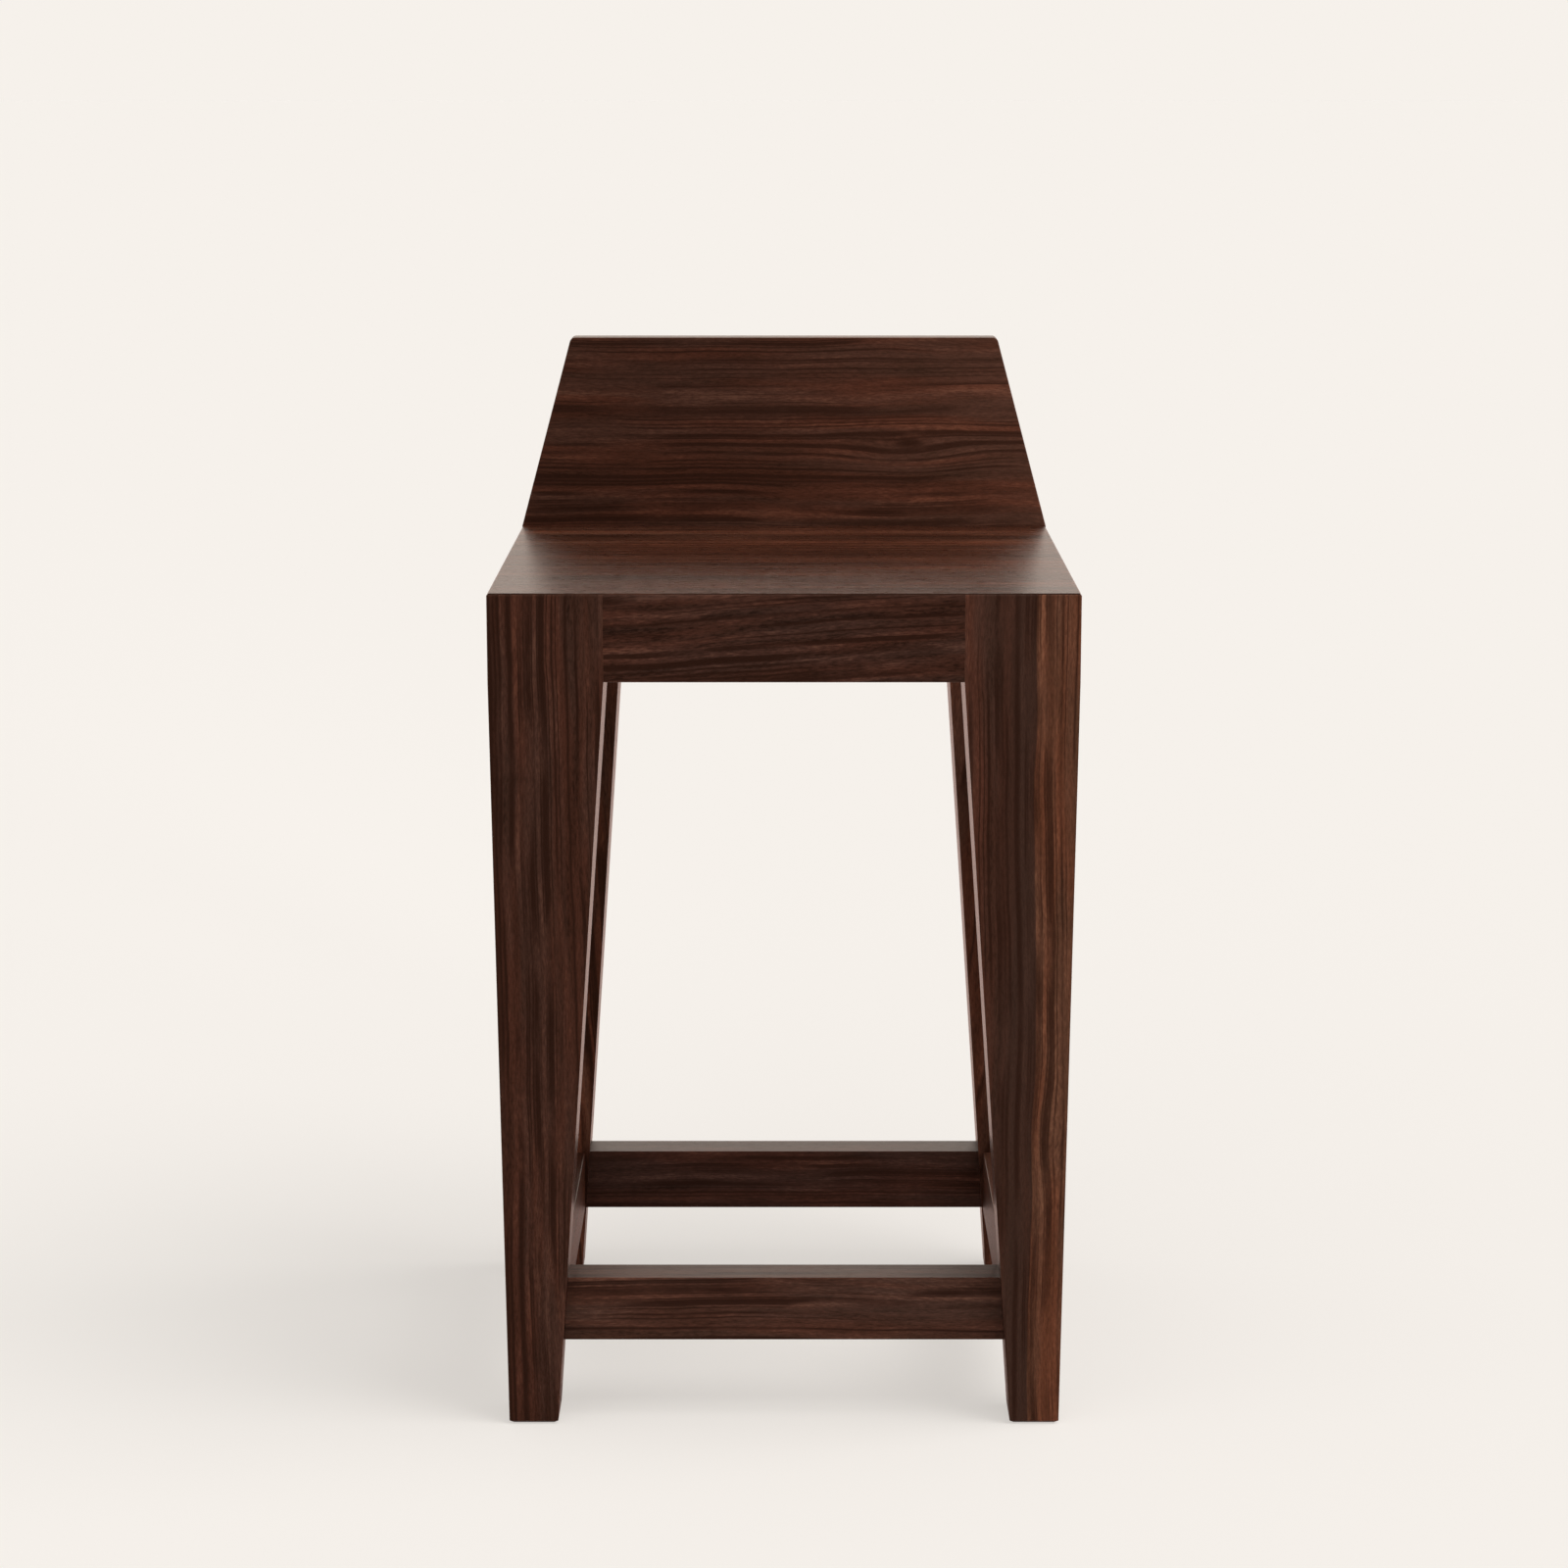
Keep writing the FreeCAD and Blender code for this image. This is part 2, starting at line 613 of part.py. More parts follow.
def make_stool(doc):
    """Every piece of the stool, in the order of its making."""
    pieces = []
    for side_name, side in SIDES.items():
        for end_name, end in ENDS.items():
            pieces.append(make_leg(doc, f"{end_name}_{side_name}_leg", side, end))
            pieces.append(make_glide(doc, f"{end_name}_{side_name}_glide", side, end))
    for rail in RAILS.values():
        pieces += [make_apron(doc, rail), make_stretcher(doc, rail), make_cleat(doc, rail)]
    pieces += [make_seat(doc), make_backrest(doc)]
    pieces += make_fasteners(doc)
    return pieces


def check_and_write(doc, pieces):
    """Stop at anything that failed to build, then write each piece under its own name."""
    failed = [thing.Name for thing in doc.Objects if {"Invalid", "Error"} & set(thing.State)]
    failed += [piece.Label for piece in pieces if piece.Shape.isNull() or not piece.Shape.isValid()]
    if failed:
        raise RuntimeError(f"not built: {failed}")
    os.makedirs("parts", exist_ok=True)
    for piece in pieces:
        piece.Shape.exportStep(f"parts/{piece.Label}.step")
        print(piece.Label, len(piece.Shape.Solids), "solids", round(piece.Shape.Volume / 1000, 1), "cm3")


document = FreeCAD.newDocument("counter_stool")
make_sheet(document)
stool = make_stool(document)
document.recompute()
check_and_write(document, stool)
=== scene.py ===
# %% [markdown]
# A backed counter stool in dark, striped hardwood.
# The real stool is a joiner's piece: tapered legs, rails tenoned into them, a seat panel mitred to the
# frame and one board for a backrest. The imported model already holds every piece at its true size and
# place, so this lesson only dresses it: it eases the edges that a hand would touch, gives each board its
# own figure of grain, makes the screws and dowels, and sets up the light and the camera.

# %% Load the frame
import math

import bmesh
import bpy
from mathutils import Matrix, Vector
from mathutils.bvhtree import BVHTree


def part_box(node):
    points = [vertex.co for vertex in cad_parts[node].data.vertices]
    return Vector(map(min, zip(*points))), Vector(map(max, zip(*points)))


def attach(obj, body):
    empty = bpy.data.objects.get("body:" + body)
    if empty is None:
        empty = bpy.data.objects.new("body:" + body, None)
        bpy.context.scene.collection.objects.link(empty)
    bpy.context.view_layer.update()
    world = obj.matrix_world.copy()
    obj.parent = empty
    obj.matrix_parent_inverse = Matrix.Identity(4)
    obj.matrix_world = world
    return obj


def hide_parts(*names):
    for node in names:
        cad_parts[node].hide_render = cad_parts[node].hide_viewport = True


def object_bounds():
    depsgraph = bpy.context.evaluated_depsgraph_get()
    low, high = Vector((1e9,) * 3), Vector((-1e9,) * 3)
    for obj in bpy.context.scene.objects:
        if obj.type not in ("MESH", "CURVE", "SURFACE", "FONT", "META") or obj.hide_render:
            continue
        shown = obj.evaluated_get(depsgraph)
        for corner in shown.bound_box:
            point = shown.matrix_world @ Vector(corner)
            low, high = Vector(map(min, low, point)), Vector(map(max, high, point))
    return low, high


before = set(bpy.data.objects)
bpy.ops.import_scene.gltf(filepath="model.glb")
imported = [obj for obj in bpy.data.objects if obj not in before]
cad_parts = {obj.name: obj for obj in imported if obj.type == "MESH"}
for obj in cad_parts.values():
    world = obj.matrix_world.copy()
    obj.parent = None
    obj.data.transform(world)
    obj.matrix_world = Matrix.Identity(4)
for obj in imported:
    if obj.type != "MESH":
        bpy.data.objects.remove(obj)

cad_low, cad_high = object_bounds()
print("loaded", len(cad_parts), "nodes; size in metres", [round(x, 3) for x in cad_high - cad_low])

# %% [markdown]
# The camera stands in front of the stool, a little above the seat, and looks slightly down with a long
# lens, so that upright edges stay almost parallel. Its place could be found by trial and error. Here it
# was worked out together with the stool's sizes from the edges in the picture, and is written as four
# plain measures.

# %% Camera
PICTURE_SIZE = 1600
FOCAL_LENGTH_PIXELS = 3892.6
SENSOR_WIDTH_MM = 36.0
CAMERA_TO_FRONT = 2.727
CAMERA_HEIGHT = 1.0296
CAMERA_PITCH_DEGREES = 11.09


def into_scene(name, data):
    """A new object in the scene."""
    made = bpy.data.objects.new(name, data)
    bpy.context.scene.collection.objects.link(made)
    return made


lens = bpy.data.cameras.new("picture_camera")
lens.sensor_width = SENSOR_WIDTH_MM
lens.lens = SENSOR_WIDTH_MM * FOCAL_LENGTH_PIXELS / PICTURE_SIZE
camera = into_scene("picture_camera", lens)
camera.location = (0, cad_low.y - CAMERA_TO_FRONT, CAMERA_HEIGHT)
camera.rotation_euler = (math.radians(90 - CAMERA_PITCH_DEGREES), 0, 0)
bpy.context.scene.camera = camera
print("camera with a lens of", round(lens.lens, 1), "mm")

# %% [markdown]
# Every finish below is a small tree of shader nodes. Building a tree by hand takes three steps for each
# node: make it, set it up, and link its inputs. One helper does all three, so that a tree reads as a list
# of steps. The others wrap the nodes that are needed most often.

# %% Helpers for node trees
def add_node(tree, kind, inputs=None, **settings):
    """Add a node; each input is filled with a value, or linked if the value is another node's socket."""
    made = tree.nodes.new(kind)
    for name, value in settings.items():
        setattr(made, name, value)
    for key, value in (inputs or {}).items():
        if isinstance(value, bpy.types.NodeSocket):
            tree.links.new(value, made.inputs[key])
        else:
            made.inputs[key].default_value = value
    return made


def calculate(tree, operation, *values):
    """A Math node's result."""
    return add_node(tree, "ShaderNodeMath", dict(enumerate(values)), operation=operation).outputs[0]


def negative(tree, value):
    """A value with its sign turned round."""
    return calculate(tree, "MULTIPLY", value, -1.0)


def calculate_vector(tree, operation, *values):
    """A Vector Math node's result."""
    vectors = dict(enumerate(values))
    return add_node(tree, "ShaderNodeVectorMath", vectors, operation=operation).outputs[0]


def scale_vector(tree, vector, factor):
    """A vector made longer or shorter."""
    inputs = {0: vector, "Scale": factor}
    return add_node(tree, "ShaderNodeVectorMath", inputs, operation="SCALE").outputs[0]


def length_of(tree, vector):
    """How long a vector is."""
    return add_node(tree, "ShaderNodeVectorMath", {0: vector}, operation="LENGTH").outputs["Value"]


def split_vector(tree, vector):
    """A vector's X, Y and Z."""
    return add_node(tree, "ShaderNodeSeparateXYZ", {0: vector}).outputs


def remap(tree, value, from_low, from_high, to_low=0.0, to_high=1.0, shape="SMOOTHSTEP"):
    """A value moved from one range to another, held at the ends."""
    ends = {0: value, 1: from_low, 2: from_high, 3: to_low, 4: to_high}
    return add_node(tree, "ShaderNodeMapRange", ends, interpolation_type=shape).outputs[0]


def blend_colours(tree, share, first, second, way="MIX"):
    """One colour over another."""
    mixed = {0: share, 6: first, 7: second}
    return add_node(tree, "ShaderNodeMix", mixed, data_type="RGBA", blend_type=way).outputs[2]


def screen_colour(red, green, blue):
    """A colour given in the 0 to 255 steps of a screen, as the linear values that shaders use."""
    def linear(step):
        share = step / 255
        return share / 12.92 if share <= 0.04045 else ((share + 0.055) / 1.055) ** 2.4

    return linear(red), linear(green), linear(blue), 1.0


# %% [markdown]
# The wood is a red-brown ground with thin, almost black lines that run along each board and wander a
# little. A flat picture of wood would break at every edge. A solid texture doesn't: the node group below
# describes a log, with grain along X and its pith on the X axis, and each board is a block sawn out of it.
# The same lines then run over the faces and show as rings on the end grain.
#
# First the log's growth is made uneven: noise in two sizes bends the grain, and a knot pushes it aside.

# %% The log: bent grain and knots
LOG_INPUTS = {
    "Place in log": "NodeSocketVector",
    "Bend": "NodeSocketFloat",
    "Knot place": "NodeSocketVector",
    "Knot reach": "NodeSocketFloat",
    "Heart place": "NodeSocketFloat",
    "Heart width": "NodeSocketFloat",
    "Heart depth": "NodeSocketFloat",
}
LOG_OUTPUTS = ("Ground", "Hue", "Lines", "Fibre", "Pores", "Knot", "Heartwood", "Sapwood")
SLOW_BEND = (3.0, 6.0, 6.0)
QUICK_BEND = (10.0, 24.0, 24.0)
QUICK_BEND_REACH = 0.0026
KNOT_STRETCH = (0.3, 1.0, 1.0)
KNOT_PUSH = 0.6
NOISE_MIDDLE = 0.5
FULL_SWING_SIDEWAYS = (0.0, 2.0, 2.0)
ACROSS_GRAIN = (0.0, 1.0, 1.0)
NOT_ZERO = 0.0001

log = bpy.data.node_groups.new("striped_log", "ShaderNodeTree")
for socket_name, socket_kind in LOG_INPUTS.items():
    log.interface.new_socket(socket_name, in_out="INPUT", socket_type=socket_kind)
for socket_name in LOG_OUTPUTS:
    log.interface.new_socket(socket_name, in_out="OUTPUT", socket_type="NodeSocketFloat")
given = log.nodes.new("NodeGroupInput").outputs


def stretched_noise(tree, place, stretch, detail=2.0, roughness=0.5, output=0):
    """Noise whose grains are stretched: the numbers are how many there are in a metre along each axis."""
    scaled = calculate_vector(tree, "MULTIPLY", place, stretch)
    settings = {"Vector": scaled, "Scale": 1.0, "Detail": detail, "Roughness": roughness}
    return add_node(tree, "ShaderNodeTexNoise", settings).outputs[output]


def bent(tree, place, stretch, reach):
    """A place moved sideways by noise, up to a reach."""
    noise = stretched_noise(tree, place, stretch, output=1)
    shift = calculate_vector(tree, "SUBTRACT", noise, (NOISE_MIDDLE,) * 3)
    sideways = calculate_vector(tree, "MULTIPLY", shift, FULL_SWING_SIDEWAYS)
    return calculate_vector(tree, "ADD", place, scale_vector(tree, sideways, reach))


from_knot = calculate_vector(log, "SUBTRACT", given["Place in log"], given["Knot place"])
knot_oval = calculate_vector(log, "MULTIPLY", from_knot, KNOT_STRETCH)
knot_reach = calculate(log, "MAXIMUM", given["Knot reach"], NOT_ZERO)
knot_share = calculate(log, "DIVIDE", length_of(log, knot_oval), knot_reach)
knot_pull = remap(log, knot_share, 0.0, 1.0, KNOT_PUSH, 0.0)
aside = calculate_vector(log, "MULTIPLY", from_knot, ACROSS_GRAIN)
around_knot = calculate_vector(log, "SUBTRACT", given["Place in log"], scale_vector(log, aside, knot_pull))
grown = bent(log, bent(log, around_knot, SLOW_BEND, given["Bend"]), QUICK_BEND, QUICK_BEND_REACH)
print("the log's grain is bent by", len(log.nodes), "nodes")

# %% [markdown]
# Then comes the figure. The ground's colour is noise in three sizes added up: broad zones, streaks that
# fade in and out along the grain, and fine fibres. The dark lines are growth rings: noise in one
# dimension, along the distance from the pith, and a line wherever that noise passes through its middle
# value. A wave texture could draw rings too, but it repeats too evenly. Slower noise lets each line fade
# and come back. Pores are short dark dashes over everything.

# %% The log: ground, lines, fibres and pores
ZONES_PER_METRE = 34.0
LINES_PER_METRE = 150.0
LINE_HALF_WIDTH = 0.11
LINE_FADE = (9.0, 60.0, 60.0)
LINE_FADE_RANGE = (0.34, 0.58)
STREAKS = (12.0, 160.0, 160.0)
FIBRES = (170.0, 850.0, 850.0)
PORES = (130.0, 1900.0, 1900.0)
PORE_RANGE = (0.60, 0.70)
HUES = (5.0, 70.0, 70.0)
HUE_RANGE = (0.35, 0.65)
GROUND_SHARES = {"zones": 0.26, "streaks": 0.42, "fibres": 0.32}
GROUND_RANGE = (0.34, 0.66)

pith_distance = length_of(log, calculate_vector(log, "MULTIPLY", grown, ACROSS_GRAIN))


def ring_noise(lines_per_metre, detail):
    """Noise along the distance from the pith alone."""
    settings = {"W": pith_distance, "Scale": lines_per_metre, "Detail": detail}
    return add_node(log, "ShaderNodeTexNoise", settings, noise_dimensions="1D").outputs[0]


layers = {
    "zones": ring_noise(ZONES_PER_METRE, detail=1.0),
    "streaks": stretched_noise(log, grown, STREAKS, detail=3.0, roughness=0.55),
    "fibres": stretched_noise(log, grown, FIBRES, detail=2.0, roughness=0.6),
}
ground = 0.0
for layer_name, layer in layers.items():
    ground = calculate(log, "MULTIPLY_ADD", layer, GROUND_SHARES[layer_name], ground)
ground = remap(log, ground, *GROUND_RANGE, shape="LINEAR")
hue = remap(log, stretched_noise(log, grown, HUES), *HUE_RANGE)

rings = ring_noise(LINES_PER_METRE, detail=1.5)
off_middle = calculate(log, "ABSOLUTE", calculate(log, "SUBTRACT", rings, NOISE_MIDDLE))
line_strength = remap(log, stretched_noise(log, grown, LINE_FADE), *LINE_FADE_RANGE)
lines = calculate(log, "MULTIPLY", remap(log, off_middle, 0.0, LINE_HALF_WIDTH, 1.0, 0.0), line_strength)
pores = remap(log, stretched_noise(log, grown, PORES, detail=1.0), *PORE_RANGE)
print("ground made of", ", ".join(layers))

# %% [markdown]
# Last, heartwood and sapwood: one board has a broad dark band with one sharp side, where the colour of the
# tree's heart stops, and lighter wood beyond it. The band lies at a given height above the pith, and a
# board shows it only if its depth isn't zero.

# %% The log: heartwood and outputs
SHARP_SIDE = (0.0, 0.04)
SOFT_SIDE = (0.4, 1.4)
KNOT_HEART = (0.03, 0.2)

above_pith = split_vector(log, grown)["Z"]
past_side = calculate(log, "DIVIDE", calculate(log, "SUBTRACT", above_pith, given["Heart place"]),
                      calculate(log, "MAXIMUM", given["Heart width"], NOT_ZERO))
inside = remap(log, past_side, *SHARP_SIDE)
fading = remap(log, past_side, *SOFT_SIDE, 1.0, 0.0)
heartwood = calculate(log, "MULTIPLY", calculate(log, "MULTIPLY", inside, fading), given["Heart depth"])
sapwood = calculate(log, "MULTIPLY", calculate(log, "SUBTRACT", 1.0, inside), given["Heart depth"])
knot_core = remap(log, knot_share, *KNOT_HEART, 1.0, 0.0)
figure_parts = (ground, hue, lines, layers["fibres"], pores, knot_core, heartwood, sapwood)
add_node(log, "NodeGroupOutput", dict(zip(LOG_OUTPUTS, figure_parts)))
print("the log has", len(log.nodes), "nodes")

# %% [markdown]
# Now the log can be used. A board is sawn from it by turning the board's own coordinates so that its grain
# follows the log, and moving them to a place in it. Every finish on the stool ends in the same three
# sockets of the shader: a colour, a roughness and a shallow relief.

# %% Sawing a board, and what every finish has
GRAIN_ALONG = {
    "x": (0.0, 0.0, 0.0),
    "y": (0.0, 0.0, math.radians(-90)),
    "z": (0.0, math.radians(90), 0.0),
}


def sawn_from_log(tree, along, place, tilt=0.0, growth=1.0):
    """A board's own coordinates, turned and moved to its place in the log.

    A growth above one is a tree that grew faster: its whole figure is that much larger.
    """
    turn = Vector(GRAIN_ALONG[along]) + Vector((0, math.radians(tilt), 0))
    corner = add_node(tree, "ShaderNodeTexCoord").outputs["Object"]
    settings = {"Vector": corner, "Rotation": turn, "Location": place, "Scale": [1.0 / growth] * 3}
    return add_node(tree, "ShaderNodeMapping", settings).outputs[0]


def new_finish(name):
    """A material with its node tree and its shader."""
    material = bpy.data.materials.new(name)
    material.use_nodes = True
    return material, material.node_tree, material.node_tree.nodes["Principled BSDF"]


def finish_shader(tree, shader, colour, roughness, relief, bump_strength, bump_depth):
    """Link a finish's colour, roughness and relief to its shader."""
    heights = {"Height": relief, "Strength": bump_strength, "Distance": bump_depth}
    bump = add_node(tree, "ShaderNodeBump", heights).outputs[0]
    for name, socket in {"Base Color": colour, "Roughness": roughness, "Normal": bump}.items():
        tree.links.new(socket, shader.inputs[name])


# %% [markdown]
# The stain and the satin oil come next. The ground picks a colour between grey-brown and red-brown, and
# the lines, pores, knots and heartwood darken it. The oil leaves little gloss when one looks straight at
# it and much at a glancing angle, so the head-on reflection is tinted dark on the shader itself. Fibres
# and pores also drive the roughness and a very shallow bump. Eased edges carry an attribute, and the
# finish paints them lighter in streaks along the fibres: a painted highlight for the light that the
# rounded edges catch.

# %% Dark hardwood
EBONY = screen_colour(38, 19, 11)
UMBER = screen_colour(56, 32, 22)
RUSSET = screen_colour(71, 41, 30)
AMBER = screen_colour(96, 59, 44)
STAIN_STEPS = ((0.0, EBONY), (0.25, UMBER), (0.62, RUSSET), (1.0, AMBER))
HEART_BROWN = screen_colour(50, 34, 27)
REDDISH = (1.08, 0.96, 0.90, 1.0)
GREYISH = (0.92, 1.03, 1.10, 1.0)
SAPWOOD_GAIN = (1.7, 1.65, 1.4, 1.0)
LINE_SHADE = 0.95
PORE_SHADE = 0.4
KNOT_SHADE = 0.9
HEART_SHADE = 0.65
OIL_HEAD_ON = (0.06, 0.06, 0.06, 1.0)
OIL_ROUGHNESS = 0.28
RAIL_ROUGHNESS = 0.4
FOOT_WORN_ROUGHNESS = 0.47
FIBRE_DULLNESS = 0.12
PORE_DULLNESS = 0.12
# How much lighter the eased edges are painted: a painted highlight, not wear.
EDGE_HIGHLIGHT_PAINT = 0.22
PORE_SINK = -0.8
GRAIN_BUMP = 0.35
GRAIN_RELIEF = 0.00012
USUAL_BEND = 0.006


def stain_colour(tree, share):
    """The stain's colour, from its darkest to its lightest step."""
    ramp = add_node(tree, "ShaderNodeValToRGB", {0: share})
    for place, _ in STAIN_STEPS[1:-1]:
        ramp.color_ramp.elements.new(place)
    for element, (place, colour) in zip(ramp.color_ramp.elements, STAIN_STEPS):
        element.position = place
        element.color = colour
    return ramp.outputs[0]


def stained(tree, colour, share, strength, over=EBONY):
    """A colour with some of it stained over, almost black unless another colour is given."""
    return blend_colours(tree, calculate(tree, "MULTIPLY", share, strength), colour, over)


def hardwood(name, along, place, tone=(1.0, 1.0, 1.0), contrast=1.0, line_shade=LINE_SHADE,
             roughness=OIL_ROUGHNESS, bend=USUAL_BEND, tilt=0.0, growth=1.0, knot=None, heart=None):
    """The finish of one board of dark hardwood."""
    material, tree, shader = new_finish(f"dark_hardwood_{name}")
    figure = add_node(tree, "ShaderNodeGroup", node_tree=log)
    tree.links.new(sawn_from_log(tree, along, place, tilt, growth), figure.inputs["Place in log"])
    chosen = {"Bend": bend}
    if knot:
        chosen.update(zip(("Knot place", "Knot reach"), knot))
    if heart:
        chosen.update(zip(("Heart place", "Heart width", "Heart depth"), heart))
    for socket, value in chosen.items():
        figure.inputs[socket].default_value = value
    out = figure.outputs
    parted = calculate(tree, "MULTIPLY_ADD", out["Ground"], contrast, (1.0 - contrast) / 2)
    stain = blend_colours(tree, 1.0, stain_colour(tree, parted), (*tone, 1.0), "MULTIPLY")
    tint = blend_colours(tree, out["Hue"], REDDISH, GREYISH)
    stain = blend_colours(tree, 1.0, stain, tint, "MULTIPLY")
    stain = blend_colours(tree, out["Sapwood"], stain, SAPWOOD_GAIN, "MULTIPLY")
    stain = stained(tree, stain, out["Heartwood"], HEART_SHADE, HEART_BROWN)
    stain = stained(tree, stain, out["Lines"], line_shade)
    stain = stained(tree, stain, out["Pores"], PORE_SHADE)
    stain = stained(tree, stain, out["Knot"], KNOT_SHADE)
    # Painted highlight: the eased edges are lightened towards amber along the fibres, for the light they
    # catch.
    eased = add_node(tree, "ShaderNodeAttribute", attribute_name="eased").outputs["Fac"]
    painted_edge_highlight = calculate(tree, "MULTIPLY", eased, out["Fibre"])
    colour = stained(tree, stain, painted_edge_highlight, EDGE_HIGHLIGHT_PAINT, AMBER)
    dull = calculate(tree, "MULTIPLY_ADD", out["Fibre"], FIBRE_DULLNESS, roughness - FIBRE_DULLNESS / 2)
    dull = calculate(tree, "MULTIPLY_ADD", out["Pores"], PORE_DULLNESS, dull)
    relief = calculate(tree, "MULTIPLY_ADD", out["Pores"], PORE_SINK, out["Fibre"])
    finish_shader(tree, shader, colour, dull, relief, GRAIN_BUMP, GRAIN_RELIEF)
    shader.inputs["Specular Tint"].default_value = OIL_HEAD_ON
    return material


# %% [markdown]
# A joiner breaks every edge that stays in the open with a plane or sandpaper, and leaves the edges in a
# joint sharp, so that the joint closes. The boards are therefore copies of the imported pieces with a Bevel
# modifier that works by edge weight: full weight on free edges, a hair's width where two pieces meet
# flush, none inside the joints. Which edge is which is measured: a free edge has no other piece close to
# it.

# %% Find the free edges of a board
EASED_RADIUS = 0.0009
HAIRLINE = 0.00016
ARRIS_SHARE = 0.3
SHARP_ANGLE = math.radians(20)
SQUARE_ANGLE = math.radians(60)
FLAT_ANGLE = math.radians(0.2)
SAME_POINT = 1e-6
TOUCHING = 0.0006
OUTSIDE_STEP = 0.004
SEARCH_REACH = EASED_RADIUS * 4
FAR_AWAY = 1.0
EDGE_SAMPLES = (0.1, 0.3, 0.5, 0.7, 0.9)
NOT_BOARDS = ("screws", "dowels", "glide")


def merged_copy(node_name):
    """A piece's loose triangles, joined into whole flat faces."""
    board = bmesh.new()
    board.from_mesh(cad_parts[node_name].data)
    bmesh.ops.remove_doubles(board, verts=board.verts, dist=SAME_POINT)
    bmesh.ops.dissolve_limit(board, angle_limit=FLAT_ANGLE, verts=board.verts, edges=board.edges)
    return board


surfaces = {}
for node_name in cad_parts:
    if not node_name.endswith(NOT_BOARDS):
        board = merged_copy(node_name)
        surfaces[node_name] = BVHTree.FromBMesh(board)
        board.free()


def nearest_other(node_name, point):
    """How far the nearest other piece of wood is from a point."""
    others = (surface for name, surface in surfaces.items() if name != node_name)
    found = (surface.find_nearest(point, SEARCH_REACH) for surface in others)
    return min((distance for spot, _, _, distance in found if spot is not None), default=FAR_AWAY)


def edge_weight(node_name, edge):
    """How much of the bevel an edge takes."""
    if len(edge.link_faces) != 2 or not edge.is_convex or edge.calc_face_angle(0.0) < SHARP_ANGLE:
        return 0.0
    start, stop = (corner.co for corner in edge.verts)
    gaps = [nearest_other(node_name, start.lerp(stop, share)) for share in EDGE_SAMPLES]
    if sorted(gaps)[len(gaps) // 2] > TOUCHING:
        return 1.0 if edge.calc_face_angle() > SQUARE_ANGLE else ARRIS_SHARE
    outwards = (edge.link_faces[0].normal + edge.link_faces[1].normal).normalized()
    outside = start.lerp(stop, 0.5) + outwards * OUTSIDE_STEP
    in_the_open = nearest_other(node_name, outside) > OUTSIDE_STEP / 2
    return HAIRLINE / EASED_RADIUS if in_the_open else 0.0


print("measured the surfaces of", len(surfaces), "pieces of wood")

# %% [markdown]
# The bevel's new faces get the attribute that the finish reads as an eased edge. The modifier can't write
# an attribute, but it can put its faces into a second material slot, so the slot number is read afterwards
# and set back. A Weighted Normal modifier keeps the big faces flat in the shading, although the rounded
# strips beside them are smooth. At the end the modifiers' result is made a plain mesh.

# %% Ease and finish one board
EASED_FACES = 1
BEVEL_STEPS = 3
BIG_FACES_FIRST = 100


def plain_mesh(blank, name):
    """An object's shape after its modifiers, as a new object; the blank is thrown away."""
    evaluated = blank.evaluated_get(bpy.context.evaluated_depsgraph_get())
    mesh = bpy.data.meshes.new_from_object(evaluated)
    bpy.data.objects.remove(blank)
    return into_scene(name, mesh)


def hand_in(finished, node_name):
    """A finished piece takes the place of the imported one."""
    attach(finished, "root")
    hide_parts(node_name)


def weighted_blank(node_name):
    """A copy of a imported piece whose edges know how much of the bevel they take."""
    board = merged_copy(node_name)
    weights = board.edges.layers.float.new("bevel_weight_edge")
    for edge in board.edges:
        edge[weights] = edge_weight(node_name, edge)
        edge.smooth = edge[weights] > 0 or edge.calc_face_angle(0.0) < SHARP_ANGLE
    free = sum(1 for edge in board.edges if edge[weights] == 1.0)
    mesh = bpy.data.meshes.new(f"{node_name}_blank")
    board.to_mesh(mesh)
    board.free()
    mesh.shade_smooth()
    return into_scene(f"{node_name}_blank", mesh), free


def eased_board(node_name, material):
    """A finished piece of wood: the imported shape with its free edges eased."""
    blank, free = weighted_blank(node_name)
    for _ in range(EASED_FACES + 1):
        blank.data.materials.append(material)
    bevel = blank.modifiers.new("eased_edges", "BEVEL")
    bevel.limit_method = "WEIGHT"
    bevel.width = EASED_RADIUS
    bevel.segments = BEVEL_STEPS
    bevel.material = EASED_FACES
    shading = blank.modifiers.new("flat_faces_stay_flat", "WEIGHTED_NORMAL")
    shading.mode = "FACE_AREA"
    shading.weight = BIG_FACES_FIRST
    shading.keep_sharp = True
    finished = plain_mesh(blank, f"finished_{node_name}")
    faces = finished.data.polygons
    eased = finished.data.attributes.new("eased", "FLOAT", "FACE")
    eased.data.foreach_set("value", [float(face.material_index == EASED_FACES) for face in faces])
    faces.foreach_set("material_index", [0] * len(faces))
    finished.data.materials.pop(index=EASED_FACES)
    hand_in(finished, node_name)
    print(finished.name, "free edges", free, "faces", len(faces))


# %% [markdown]
# Now the boards themselves. Each one is sawn from its own place in the log: the first number of a place
# picks a stretch along the log, the other two say how far from the pith the board lies. No two boards take
# the stain alike, so some have a tone of their own, or a stronger or weaker contrast. The seat's figure is
# larger, as in a tree that grew fast. Use changes the oil: shoes have dulled the stretchers, the front one
# most of all. A knot has a place and a reach, and a heart a place, a width and a depth.

